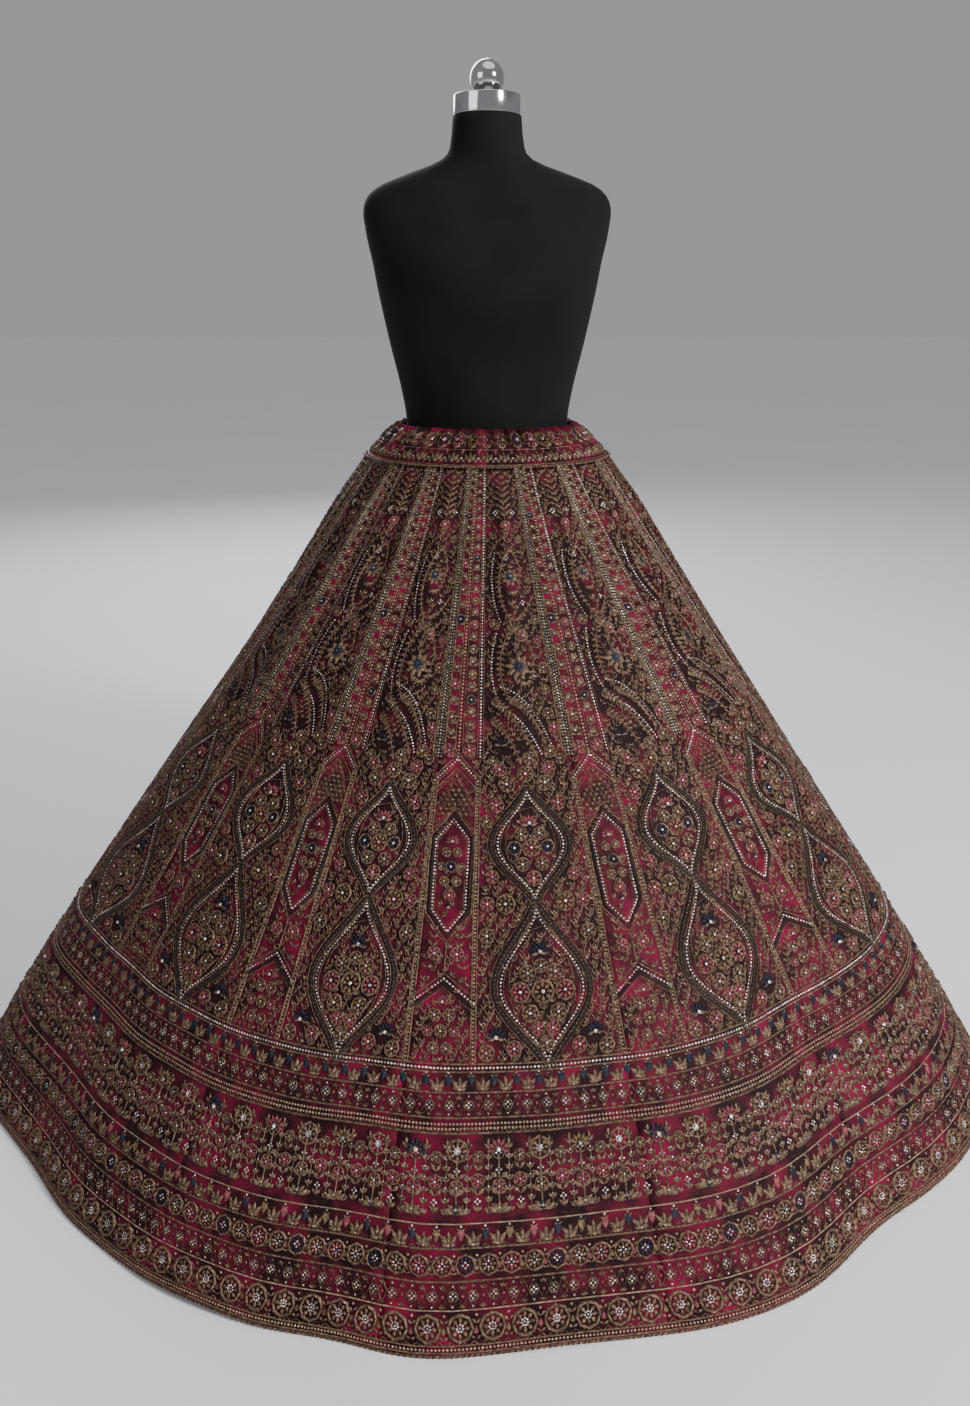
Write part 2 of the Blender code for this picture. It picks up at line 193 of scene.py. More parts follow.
for lamp_name, kind, place, aimed_at, spread, power in LAMPS:
    lamp_data = bpy.data.lights.new(lamp_name, kind)
    setattr(lamp_data, "angle" if kind == "SUN" else "size", spread)
    lamp_data.energy = power
    lamp = bpy.data.objects.new(lamp_name, lamp_data)
    lamp.location = place
    aim = [b - a for a, b in zip(place, aimed_at)]
    yaw = math.atan2(-aim[0], aim[1])
    pitch = math.atan2(aim[2], math.hypot(aim[0], aim[1]))
    lamp.rotation_euler = (math.radians(90.0) + pitch, 0.0, yaw)
    bpy.context.scene.collection.objects.link(lamp)


# The kalis
# Sixteen flared panels of deep wine velvet, cut wide at the hem and narrow at the
# waist, sewn side to side and gathered at the top so that flutes run down from it.
PANELS = 16
FRONT_SEAMS = (-72.5, -49.5, -28.3, -8.3, 14.0, 36.2, 62.0)
BACK_PITCH = (360.0 - FRONT_SEAMS[-1] + FRONT_SEAMS[0]) / (PANELS - len(FRONT_SEAMS) + 1)
EVEN_PITCH = 360.0 / PANELS
SEAM_GAP = 0.0003
SHELL = 0.0012
SHELL_COLUMNS = 28
SHELL_ROWS = 76
SEAM_HEIGHT = 0.814
SEAM_DEPTH_SHARE = 0.905
HEM_HEIGHT = 0.0053
RING_SHARE = 0.717
SKIRT_PROFILE = np.array((
    # share, half_width, draw_in
    (0.000, 0.1740, 0.000),
    (0.145, 0.2600, 0.045),
    (0.325, 0.3700, 0.070),
    (0.520, 0.5000, 0.100),
    (0.717, 0.6280, 0.125),
    (0.870, 0.7180, 0.120),
    (1.000, 0.7860, 0.105),
))
DRAW_IN_LEFT = (62.0, 94.0)
DRAW_IN_RIGHT = (56.0, 92.0)
ROUND_BELOW = 0.35
FLUTES = 2 * PANELS
FLUTE_DEPTH = 0.0066
FLUTE_VARIES = (0.55, 1.25)
FLUTE_BACK_GAIN, FLUTE_BACK_FROM, FLUTE_BACK_OVER = 0.5, 60.0, 60.0
FLUTE_AT_SEAM, FLUTE_OPEN_BY = 0.12, 0.09
FLUTE_FADES_FROM, FLUTE_LEFT = 0.10, 0.15
FLUTE_REACH = (0.42, 0.82)
GOLDEN_STEP, GOLDEN_START = 0.618034, 0.27
HEM_FOLDS = (
    # turn_deg, width_deg, depth, start
    (-62.0, 8.0, 0.010, 0.30),
    (-49.0, 8.0, -0.012, 0.35),
    (-23.0, 9.0, 0.009, 0.45),
    (-13.0, 4.0, -0.003, 0.60),
    (-5.0, 5.0, 0.006, 0.55),
    (8.0, 7.0, -0.005, 0.55),
    (23.0, 7.0, 0.008, 0.50),
    (37.0, 7.0, -0.013, 0.40),
    (55.0, 9.0, 0.006, 0.35),
    (76.0, 7.0, -0.012, 0.28),
    (92.0, 8.0, 0.013, 0.26),
    (109.0, 8.0, -0.015, 0.20),
    (126.0, 8.0, 0.014, 0.24),
    (143.0, 7.0, -0.017, 0.18),
    (160.0, 8.0, 0.015, 0.22),
    (178.0, 8.0, -0.014, 0.20),
    (-166.0, 8.0, 0.016, 0.24),
    (-148.0, 8.0, -0.016, 0.18),
    (-129.0, 8.0, 0.013, 0.26),
    (-112.0, 7.0, -0.015, 0.22),
    (-95.0, 8.0, 0.014, 0.24),
    (-78.0, 7.0, -0.012, 0.30),
)
HEM_LIFTS = (
    # turn_deg, width_deg, rise
    (-24.0, 6.0, 0.0070),
    (5.5, 4.0, 0.0040),
    (37.0, 5.0, 0.0030),
    (109.0, 6.0, 0.0050),
    (-148.0, 7.0, 0.0060),
)
LIFT_FROM = 0.86
FACING_TURN = 0.25
FACING_SHARE = 0.004
WINE_DARK = (0.0060, 0.0004, 0.0013, 1.0)
# The lighter wine is painted sheen, laid in brushed noise patches.
WINE_PAINTED_SHEEN = (0.165, 0.0013, 0.0270, 1.0)
WINE_FROM, WINE_TO = 0.41, 0.73
SHEEN_PATCH_SCALE, SHEEN_PATCH_SHARE = 24.0, 0.75
NAP_SCALE = 900.0
SEED_SCALE, SEED_RADIUS = 330.0, 0.22
NAP_TINT = (1.0, 0.06, 0.26, 1.0)
RING_WIDTH, KALI_TAPER = 0.247, 0.2356
NONE, SOME, ALL = (0.0, 0.0, 0.0, 1.0), (0.55, 0.55, 0.55, 1.0), (1.0, 1.0, 1.0, 1.0)
# Painted shade: the velvet is darkened across the paisley field's columns. It is full down to the knee and
# about half towards the ring of stones and over the border.
PAINTED_SHADE_COLUMNS = ((0.30, NONE), (0.42, ALL), (0.86, ALL), (0.98, NONE))
PAINTED_SHADE_HEIGHTS = ((0.04, SOME), (0.34, ALL))
PAINTED_SHADE_DEPTH = 0.105
ZARI_DARK = (0.008, 0.0040, 0.0026, 1.0)
ZARI_LIGHT = (0.095, 0.052, 0.032, 1.0)


def ease(x):
    """Goes from 0 to 1 with no kink at either end."""
    x = np.clip(x, 0.0, 1.0)
    return x * x * (3.0 - 2.0 * x)


def along(rows, share, column):
    """Reads one column of a table of rows at shares, on a smooth curve."""
    places, values = rows[:, 0], rows[:, column]
    slopes = np.empty(len(rows))
    slopes[1:-1] = (values[2:] - values[:-2]) / (places[2:] - places[:-2])
    slopes[0] = (values[1] - values[0]) / (places[1] - places[0])
    slopes[-1] = (values[-1] - values[-2]) / (places[-1] - places[-2])
    i = np.clip(np.searchsorted(places, share, side="right") - 1, 0, len(rows) - 2)
    step = places[i + 1] - places[i]
    f = (share - places[i]) / step
    return (
        (2 * f**3 - 3 * f**2 + 1) * values[i]
        + (f**3 - 2 * f**2 + f) * slopes[i] * step
        + (3 * f**2 - 2 * f**3) * values[i + 1]
        + (f**3 - f**2) * slopes[i + 1] * step
    )


def turn_between(turn, centre):
    """Angle from centre to turn, in degrees, the short way round."""
    return (turn - centre + 180.0) % 360.0 - 180.0


def oval(turn, half_width, depth_share):
    """Distance from the axis to an oval of that half width, at an angle."""
    across = np.sin(np.radians(turn))
    forward = np.cos(np.radians(turn)) / depth_share
    return half_width / np.hypot(across, forward)


def varied(number, low, high):
    """A value between low and high that differs from one fold to the next."""
    return low + (high - low) * ((number * GOLDEN_STEP + GOLDEN_START) % 1.0)


def waves(turn, count):
    """The height, from 0 to 1, and the number of the even waves round the axis."""
    place = (turn % 360.0) / (360.0 / count)
    number = np.floor(place)
    return 0.5 - 0.5 * np.cos(2.0 * math.pi * (place - number)), number


def nearness(turn, centre, width):
    """A smooth bell of turn: 1 at its centre, and near 0 from two widths away."""
    near = turn_between(turn, centre) / width
    return np.exp(-near * near)


def round_axis(turn, reach, height):
    """Places at distances from the axis, at angles from the front."""
    angle = np.radians(turn)
    return np.stack((reach * np.sin(angle), -reach * np.cos(angle), height), axis=-1)


def draw_in(turn, share):
    """How much of the half width is left at the sides and the back."""
    side = turn_between(turn, 0.0)
    start = np.where(side > 0, DRAW_IN_RIGHT[0], DRAW_IN_LEFT[0])
    end = np.where(side > 0, DRAW_IN_RIGHT[1], DRAW_IN_LEFT[1])
    return 1.0 - along(SKIRT_PROFILE, share, 2) * ease((np.abs(side) - start) / (end - start))


def flutes(turn, share):
    """Outward reach of the flutes below the waist seam."""
    ridge, number = waves(turn, FLUTES)
    reach = varied(number, *FLUTE_REACH)
    depth = FLUTE_DEPTH * varied(number * 3 + 1, *FLUTE_VARIES)
    behind = ease((np.abs(turn_between(turn, 0.0)) - FLUTE_BACK_FROM) / FLUTE_BACK_OVER)
    grow = FLUTE_AT_SEAM + (1.0 - FLUTE_AT_SEAM) * ease(share / FLUTE_OPEN_BY)
    fade = 1.0 - (1.0 - FLUTE_LEFT) * ease((share - FLUTE_FADES_FROM) / reach)
    return depth * (1.0 + FLUTE_BACK_GAIN * behind) * grow * fade * ridge


def hem_folds(turn, share):
    """Outward reach of the broad folds that open towards the hem."""
    reach = 0.0
    for centre, width, depth, start in HEM_FOLDS:
        opened = ease((share - start) / (1.0 - start))
        reach = reach + depth * nearness(turn, centre, width) * opened
    return reach


def hem_lift(turn, share):
    """Height of the hem above the floor, fading out up the skirt."""
    rise = 0.0
    for centre, width, height in HEM_LIFTS:
        rise = rise + height * nearness(turn, centre, width)
    return rise * ease((share - LIFT_FROM) / (1.0 - LIFT_FROM))


def skirt_point(turn, share):
    """Outer face of the skirt at angles from the front and shares of its height."""
    depth_share = SEAM_DEPTH_SHARE + (1.0 - SEAM_DEPTH_SHARE) * ease(share / ROUND_BELOW)
    reach = oval(turn, along(SKIRT_PROFILE, share, 1), depth_share)
    reach = reach * draw_in(turn, share) + flutes(turn, share) + hem_folds(turn, share)
    height = SEAM_HEIGHT + (HEM_HEIGHT - SEAM_HEIGHT) * share + hem_lift(turn, share)
    return round_axis(turn, reach, height)


def facing(surface, turn, share):
    """The outward normal of a surface, from points a little to each side."""
    low = np.maximum(share - FACING_SHARE, 0.0)
    high = np.minimum(share + FACING_SHARE, 1.0)
    across = surface(turn + FACING_TURN, share) - surface(turn - FACING_TURN, share)
    down = surface(turn, high) - surface(turn, low)
    normal = np.cross(down, across)
    point = surface(turn, share)
    inward = normal[..., 0] * point[..., 0] + normal[..., 1] * point[..., 1] < 0
    normal[inward] *= -1.0
    return normal / np.linalg.norm(normal, axis=-1, keepdims=True)


def seam_turn(number):
    """The turn of the seam at the left of a panel, and past 360 for the last one's right."""
    lap, place = divmod(number, PANELS)
    if place < len(FRONT_SEAMS):
        return 360.0 * lap + FRONT_SEAMS[place]
    return 360.0 * lap + FRONT_SEAMS[-1] + BACK_PITCH * (place - len(FRONT_SEAMS) + 1)


# The panel's flat chart: across in metres from its middle line, and up in metres
# above the ring of stones where the hem border starts
SLOPE_SHARES = np.linspace(0.0, 1.0, 801)
slope_reach = along(SKIRT_PROFILE, SLOPE_SHARES, 1)
slope_height = SEAM_HEIGHT + (HEM_HEIGHT - SEAM_HEIGHT) * SLOPE_SHARES
slope_steps = np.hypot(np.diff(slope_reach), np.diff(slope_height))
slope_length = np.concatenate(((0.0,), np.cumsum(slope_steps)))
SLOPE_UP = np.interp(RING_SHARE, SLOPE_SHARES, slope_length) - slope_length
WAIST_UP, HEM_UP = SLOPE_UP[0], SLOPE_UP[-1]


def share_at(up):
    """The share of the skirt's height at a chart height."""
    return np.interp(-np.asarray(up, float), -SLOPE_UP, SLOPE_SHARES)


def panel_width(up):
    """Width of an even panel at a chart height, in metres."""
    return along(SKIRT_PROFILE, share_at(up), 1) * math.radians(EVEN_PITCH)


def on_cloth(chart, panel):
    """Lays chart points (across, up, height off the cloth) on one panel."""
    share = share_at(chart[:, 1])
    place = 0.5 + chart[:, 0] / panel_width(chart[:, 1])
    start, end = seam_turn(panel), seam_turn(panel + 1)
    turn = start + (end - start) * place
    return skirt_point(turn, share) + chart[:, 2:] * facing(skirt_point, turn, share)


def plain_mesh(name, points, faces, materials, chart=None):
    """A smooth mesh from points, lists of faces for each material, and chart places."""
    mesh = bpy.data.meshes.new(name)
    mesh.from_pydata(points.tolist(), [], [f for part in faces for f in part])
    for material in materials:
        mesh.materials.append(material)
    numbers = np.concatenate([np.full(len(part), k) for k, part in enumerate(faces)])
    mesh.polygons.foreach_set("material_index", numbers.astype(np.int32))
    mesh.polygons.foreach_set("use_smooth", np.ones(len(numbers), bool))
    if chart is not None:
        corner = np.empty(len(mesh.loops), np.int32)
        mesh.loops.foreach_get("vertex_index", corner)
        layer = mesh.uv_layers.new(name="cloth")
        layer.data.foreach_set("uv", chart[corner].astype(np.float32).ravel())
    mesh.update()
    made = bpy.data.objects.new(name, mesh)
    bpy.context.scene.collection.objects.link(made)
    return made


def cloth_place(tree):
    """A place on the cloth's flat chart."""
    return node(tree, "ShaderNodeUVMap", {"uv_map": "cloth"}).outputs["UV"]


def velvet_material():
    """Wine velvet with zari seeds: lighter brushed patches painted as the nap's sheen, and painted shade
    across the paisley field's columns.
    """
    made, tree, shader = new_material("wine_velvet")
    place = cloth_place(tree)
    # Brushed noise patches where sheen is painted, over a fine nap noise.
    sheen_patches = noise(tree, place, SHEEN_PATCH_SCALE, 5.0)
    nap = noise(tree, place, NAP_SCALE, 1.0)
    both = summed(tree, sheen_patches, SHEEN_PATCH_SHARE, nap, 1.0 - SHEEN_PATCH_SHARE)
    spot = node(tree, "ShaderNodeSeparateXYZ", inputs={"Vector": place})
    # Painted shade across the paisley field's columns, taken off the nap before the colour ramp.
    width = maths(tree, "SUBTRACT", RING_WIDTH, maths(tree, "MULTIPLY", spot.outputs["Y"], KALI_TAPER))
    column = maths(tree, "ADD", maths(tree, "DIVIDE", spot.outputs["X"], width), 0.5)
    shade_columns = ramp(tree, column, PAINTED_SHADE_COLUMNS)
    painted_shade = maths(tree, "MULTIPLY", shade_columns, ramp(tree, spot.outputs["Y"], PAINTED_SHADE_HEIGHTS))
    lit = maths(tree, "SUBTRACT", both, maths(tree, "MULTIPLY", painted_shade, PAINTED_SHADE_DEPTH))
    velvet = ramp(tree, lit, ((WINE_FROM, WINE_DARK), (WINE_TO, WINE_PAINTED_SHEEN)))
    seeds = node(tree, "ShaderNodeTexVoronoi", inputs={"Vector": place, "Scale": SEED_SCALE})
    seed = maths(tree, "LESS_THAN", seeds.outputs["Distance"], SEED_RADIUS)
    zari = ramp(tree, nap, ((0.35, ZARI_DARK), (0.65, ZARI_LIGHT)))
    metal = maths(tree, "MULTIPLY", seed, 0.5)
    fill(tree, shader, {"Base Color": blended(tree, seed, velvet, zari), "Metallic": metal})
    fill(tree, shader, {"Roughness": 0.72, "Specular IOR Level": 0.12})
    fill(tree, shader, {"Sheen Weight": 0.12, "Sheen Roughness": 0.32, "Sheen Tint": NAP_TINT})
    height = maths(tree, "ADD", seed, maths(tree, "MULTIPLY", nap, 0.5))
    bump(tree, shader, height, 0.6, 0.0006)
    return made


VELVET = velvet_material()


def panel_shell(number):
    """One kali as a thin wall, its faces a grid of chart rows and columns."""
    start, end = seam_turn(number), seam_turn(number + 1)
    share, column = np.meshgrid(
        np.linspace(0.0, 1.0, SHELL_ROWS + 1),
        np.linspace(0.0, 1.0, SHELL_COLUMNS + 1),
        indexing="ij",
    )
    reach = along(SKIRT_PROFILE, share, 1) * draw_in(np.full(share.shape, start), share)
    trim = np.degrees(0.5 * SEAM_GAP / reach)
    turn = start + trim + (end - start - 2.0 * trim) * column
    outer = skirt_point(turn, share)
    normal = facing(skirt_point, turn, share)
    inner = outer - SHELL * normal
    for row in (0, -1):
        level = SHELL / (normal[row, :, 0] ** 2 + normal[row, :, 1] ** 2)
        inner[row, :, 0] = outer[row, :, 0] - level * normal[row, :, 0]
        inner[row, :, 1] = outer[row, :, 1] - level * normal[row, :, 1]
        inner[row, :, 2] = outer[row, :, 2]
    points = np.concatenate((outer.reshape(-1, 3), inner.reshape(-1, 3)))
    up = np.interp(share, SLOPE_SHARES, SLOPE_UP)
    across = (column - 0.5) * panel_width(up)
    chart = np.tile(np.stack((across, up), axis=-1).reshape(-1, 2), (2, 1))
    wide = SHELL_COLUMNS + 1
    behind = (SHELL_ROWS + 1) * wide
    faces = []
    for r in range(SHELL_ROWS):
        for c in range(SHELL_COLUMNS):
            a = r * wide + c
            b = a + wide
            faces.append((a, b, b + 1, a + 1))
            faces.append((behind + a, behind + a + 1, behind + b + 1, behind + b))
        left, right = r * wide, r * wide + SHELL_COLUMNS
        faces.append((left + wide, left, behind + left, behind + left + wide))
        faces.append((right, right + wide, behind + right + wide, behind + right))
    for c in range(SHELL_COLUMNS):
        low = SHELL_ROWS * wide + c
        faces.append((c, c + 1, behind + c + 1, behind + c))
        faces.append((low + 1, low, behind + low, behind + low + 1))
    return plain_mesh("kali_shell_%02d" % (number + 1), points, [faces], [VELVET], chart)


PANEL_CUT_AREA = float(np.trapz(panel_width(SLOPE_UP), -SLOPE_UP))
HEM_CUT_WIDTH = float(panel_width(HEM_UP))
for panel in range(PANELS):
    kali = panel_shell(panel)
    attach(kali, "root")
    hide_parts("kali_%02d" % (panel + 1))


# Threads, stones and how they are sewn on
# Antique gold zari, dusty pink, navy and mustard silk, and clear glass stones. Each
# motif is a small raised shape and each couched cord a low ridge, drawn once on a
# kali's flat chart, as an embroiderer's stencil is, and then sewn on all sixteen.
THREAD_KINDS = (
    # thread, material, dark (painted shade between stitches), light (thread colour with painted glints),
    # metallic, roughness
    ("gold", "antique_zari", (0.0036, 0.0020, 0.0014), (0.250, 0.156, 0.101), 0.45, 0.42),
    ("pale", "pale_zari", (0.080, 0.052, 0.034), (0.420, 0.305, 0.205), 0.50, 0.36),
    ("umber", "dark_zari", (0.0020, 0.0010, 0.0008), (0.026, 0.014, 0.010), 0.35, 0.45),
    ("pink", "dusty_pink_silk", (0.050, 0.0060, 0.010), (0.300, 0.078, 0.090), 0.0, 0.50),
    ("navy", "navy_silk", (0.0012, 0.0020, 0.0060), (0.0055, 0.0095, 0.0270), 0.0, 0.45),
    ("mustard", "mustard_silk", (0.0120, 0.0065, 0.0034), (0.250, 0.155, 0.074), 0.15, 0.45),
)
STONE_COLOUR = (0.70, 0.65, 0.58, 1.0)
MOTIF_LIFT = 0.0006
CORD_LIFT = 0.0004
CORD_HANDLE = 1.8
STITCH_SCALE, STITCH_SHARE = 420.0, 0.45
WEAR_AND_GLINT_SCALE, WEAR_AND_GLINT_SHARE = 230.0, 0.75
THREAD_FROM, THREAD_TO = 0.50, 0.88
STONE_SCALE, STONE_SHADE = 240.0, 0.22
PETAL_MIDDLE = 0.55
MOTIF_CLEAR = 0.85
CORD_CLEAR_STEP = 0.004


def thread_material(name, dark, light, metallic, roughness):
    """Satin stitches of one thread, laid side by side, with painted shade between them and painted glints
    on a noise that also stands for wear.
    """
    made, tree, shader = new_material(name)
    place = cloth_place(tree)
    stitches = node(
        tree,
        "ShaderNodeTexWave",
        {"bands_direction": "DIAGONAL"},
        {"Vector": place, "Scale": STITCH_SCALE, "Distortion": 5.0, "Detail": 1.0},
    )
    # Noise for wear of the thread, which also sets where glints and shade are painted.
    wear_and_glints = noise(tree, place, WEAR_AND_GLINT_SCALE, 1.0)
    both = summed(tree, stitches.outputs["Fac"], STITCH_SHARE, wear_and_glints, WEAR_AND_GLINT_SHARE)
    # The dark end is painted shade between stitches; the light end is the thread's colour with painted
    # glints.
    stops = ((THREAD_FROM, dark + (1.0,)), (THREAD_TO, light + (1.0,)))
    colour = ramp(tree, both, stops)
    fill(tree, shader, {"Base Color": colour, "Specular IOR Level": 0.18})
    fill(tree, shader, {"Metallic": metallic, "Roughness": roughness})
    bump(tree, shader, stitches.outputs["Fac"], 0.6, 0.0004)
    return made


def stone_material():
    """Clear foiled glass: pale and glossy, each stone a random share darker as painted shade."""
    made, tree, shader = new_material("clear_stone")
    place = cloth_place(tree)
    cells = node(tree, "ShaderNodeTexVoronoi", inputs={"Vector": place, "Scale": STONE_SCALE})
    # Painted shade: each stone is dimmed at random towards this darker copy.
    shaded = tuple(STONE_SHADE * c for c in STONE_COLOUR[:3]) + (1.0,)
    cell = node(tree, "ShaderNodeSeparateColor", inputs={"Color": cells.outputs["Color"]})
    colour = blended(tree, cell.outputs["Red"], shaded, STONE_COLOUR)
    fill(tree, shader, {"Base Color": colour, "Metallic": 0.35, "Roughness": 0.12})
    return made


THREADS = {thread: thread_material(*looks) for thread, *looks in THREAD_KINDS}
THREADS["stone"] = stone_material()
THREADS["velvet"] = VELVET
CORD_SIZES = {
    # name: (half_width, rise, thread)
    "fine": (0.00055, 0.0007, "gold"),
    "zari": (0.00110, 0.0012, "gold"),
    "bright": (0.00080, 0.0010, "pale"),
    "thick": (0.00210, 0.0015, "umber"),
    "band": (0.00290, 0.0010, "umber"),
    "seam": (0.00600, 0.0006, "umber"),
    "gap": (0.00200, 0.0002, "velvet"),
}


def set_round(count, sweep, corners, shapes):
    """Copies of one petal or leaf, all round or in a fan that opens upwards."""
    points, faces = [], []
    whole_turn = sweep == 360.0
    step = sweep / (count if whole_turn else max(count - 1, 1))
    for k in range(count):
        spin = math.radians(k * step - (0.0 if whole_turn else sweep / 2.0))
        first = len(points)
        for x, y, z in corners:
            turned_x = x * math.cos(spin) + y * math.sin(spin)
            turned_y = y * math.cos(spin) - x * math.sin(spin)
            points.append((turned_x, turned_y, z))
        faces += [tuple(first + corner for corner in shape) for shape in shapes]
    return points, faces


def petals(count, inner, width, rise, sweep=360.0):
    """Raised petals round a centre, or in a fan."""
    middle = inner + PETAL_MIDDLE * (1.0 - inner)
    edge = [(0, inner, 0), (width, middle, 0), (0, 1, 0), (-width, middle, 0)]
    corners = edge + [(0, middle, rise)]
    return set_round(count, sweep, corners, [(a, (a + 1) % 4, 4) for a in range(4)])


def blades(count, width, rise, sweep):
    """Slim folded leaves that open upwards from one place."""
    corners = [(0, 0, 0.4 * rise), (-width, PETAL_MIDDLE, 0), (0, 1, rise), (width, PETAL_MIDDLE, 0)]
    return set_round(count, sweep, corners, [(0, 2, 1), (0, 3, 2)])


def dome(sides, rise, stretch=0.0):
    """A low faceted dome: round, or drawn out upwards into a drop."""
    points = [(0.0, 0.0, rise)]
    for k in range(sides):
        spin = 2.0 * math.pi * k / sides
        reach = 1.0 + stretch * max(0.0, math.cos(spin)) ** 3
        slim = 1.0 - 0.25 * min(stretch, 1.0) * max(0.0, math.cos(spin))
        points.append((-math.sin(spin) * slim, math.cos(spin) * reach, 0.0))
    return points, [(0, 1 + k, 1 + (k + 1) % sides) for k in range(sides)]


def hoop(sides, thickness, rise):
    """A raised ring of thread."""
    points, faces = [], []
    for k in range(sides):
        spin = 2.0 * math.pi * k / sides
        for reach, height in ((1.0, 0.0), (1.0 - thickness / 2.0, rise), (1.0 - thickness, 0.0)):
            points.append((-math.sin(spin) * reach, math.cos(spin) * reach, height))
    for k in range(sides):
        a, b = 3 * k, 3 * ((k + 1) % sides)
        faces.append((a, b, b + 1, a + 1))
        faces.append((a + 1, b + 1, b + 2, a + 2))
    return points, faces


SHAPES = {
    "leaf": petals(1, 0.0, 0.24, 0.22, 0.0),
    "flower": petals(6, 0.20, 0.30, 0.26),
    "daisy": petals(8, 0.30, 0.21, 0.24),
    "fan": petals(7, 0.22, 0.17, 0.24, 196.0),
    "palmette": petals(3, 0.02, 0.20, 0.24, 74.0),
    "sprig": blades(3, 0.15, 0.26, 100.0),
    "blade": blades(1, 0.21, 0.26, 0.0),
    "drop": dome(7, 0.35, 0.8),
    "bead": dome(5, 0.60),
    "stone": dome(4, 0.75),
    "hoop": hoop(8, 0.24, 0.20),
}
motif_objects = {}
for shape, (points, faces) in SHAPES.items():
    mesh = bpy.data.meshes.new("motif_" + shape)
    mesh.from_pydata(points, [], faces)
    motif_objects[shape] = bpy.data.objects.new("motif_" + shape, mesh)
    bpy.context.scene.collection.objects.link(motif_objects[shape])


def new_tree(name, inputs):
    """A geometry tree with named inputs, and its two end nodes."""
    tree = bpy.data.node_groups.new(name, "GeometryNodeTree")
    tree.interface.new_socket("Geometry", in_out="INPUT", socket_type="NodeSocketGeometry")
    for label, kind in inputs:
        tree.interface.new_socket(label, in_out="INPUT", socket_type=kind)
    tree.interface.new_socket("Geometry", in_out="OUTPUT", socket_type="NodeSocketGeometry")
    return tree, tree.nodes.new("NodeGroupInput").outputs, tree.nodes.new("NodeGroupOutput").inputs


def attribute(tree, name):
    """A number that each point carries."""
    settings = {"data_type": "FLOAT"}
    made = node(tree, "GeometryNodeInputNamedAttribute", settings, {"Name": name})
    return made.outputs["Attribute"]


def coloured(tree, geometry, thread, result):
    """Ends a tree: every copy made real, in its thread."""
    real = node(tree, "GeometryNodeRealizeInstances", inputs={"Geometry": geometry})
    sockets = {"Geometry": real.outputs["Geometry"], "Material": thread}
    made = node(tree, "GeometryNodeSetMaterial", inputs=sockets)
    tree.links.new(made.outputs["Geometry"], result["Geometry"])


def stamped(tree, given, sockets, result):
    """Ends a tree: its motif on every point, in its thread."""
    motif = node(tree, "GeometryNodeObjectInfo", inputs={"Object": given["Motif"]})
    sockets["Instance"] = motif.outputs["Geometry"]
    placed = node(tree, "GeometryNodeInstanceOnPoints", inputs=sockets)
    coloured(tree, placed.outputs["Instances"], given["Thread"], result)


def motif_tree():
    """A motif on every point, turned and sized as the point says."""
    kinds = (("Motif", "NodeSocketObject"), ("Thread", "NodeSocketMaterial"))
    tree, given, result = new_tree("sewn_motifs", kinds)
    spin = node(tree, "ShaderNodeCombineXYZ", inputs={"Z": attribute(tree, "turned")})
    sockets = {
        "Points": given["Geometry"],
        "Rotation": spin.outputs["Vector"],
        "Scale": attribute(tree, "grown"),
    }
    stamped(tree, given, sockets, result)
    return tree


def cord_tree():
    """A low ridge of couched cord along every line: its profile reaches half its handle."""
    kinds = (
        ("Half Width", "NodeSocketFloat"),
        ("Rise", "NodeSocketFloat"),
        ("Thread", "NodeSocketMaterial"),
    )
    tree, given, result = new_tree("couched_cords", kinds)
    line = node(tree, "GeometryNodeMeshToCurve", inputs={"Mesh": given["Geometry"]})
    level = node(tree, "GeometryNodeSetCurveNormal", {"mode": "Z_UP"}, {"Curve": line.outputs["Curve"]})
    left = maths(tree, "MULTIPLY", given["Half Width"], -1.0)
    top = maths(tree, "MULTIPLY", given["Rise"], -CORD_HANDLE)
    sockets = {
        "Resolution": 2,
        "Start": node(tree, "ShaderNodeCombineXYZ", inputs={"X": left}).outputs["Vector"],
        "Middle": node(tree, "ShaderNodeCombineXYZ", inputs={"Y": top}).outputs["Vector"],
        "End": node(tree, "ShaderNodeCombineXYZ", inputs={"X": given["Half Width"]}).outputs["Vector"],
    }
    profile = node(tree, "GeometryNodeCurveQuadraticBezier", inputs=sockets)
    sockets = {"Curve": level.outputs["Curve"], "Profile Curve": profile.outputs["Curve"]}
    ridge = node(tree, "GeometryNodeCurveToMesh", inputs=sockets)
    coloured(tree, ridge.outputs["Mesh"], given["Thread"], result)
    return tree


def string_tree():
    """A motif at every step of every line, as beads and stones are strung."""
    kinds = (
        ("Motif", "NodeSocketObject"),
        ("Pitch", "NodeSocketFloat"),
        ("Size", "NodeSocketFloat"),
        ("Thread", "NodeSocketMaterial"),
    )
    tree, given, result = new_tree("strung_motifs", kinds)
    line = node(tree, "GeometryNodeMeshToCurve", inputs={"Mesh": given["Geometry"]})
    sockets = {"Curve": line.outputs["Curve"], "Length": given["Pitch"]}
    steps = node(tree, "GeometryNodeResampleCurve", {"mode": "LENGTH"}, sockets)
    stamped(tree, given, {"Points": steps.outputs["Curve"], "Scale": given["Size"]}, result)
    return tree


MOTIF_TREE, CORD_TREE, STRING_TREE = motif_tree(), cord_tree(), string_tree()


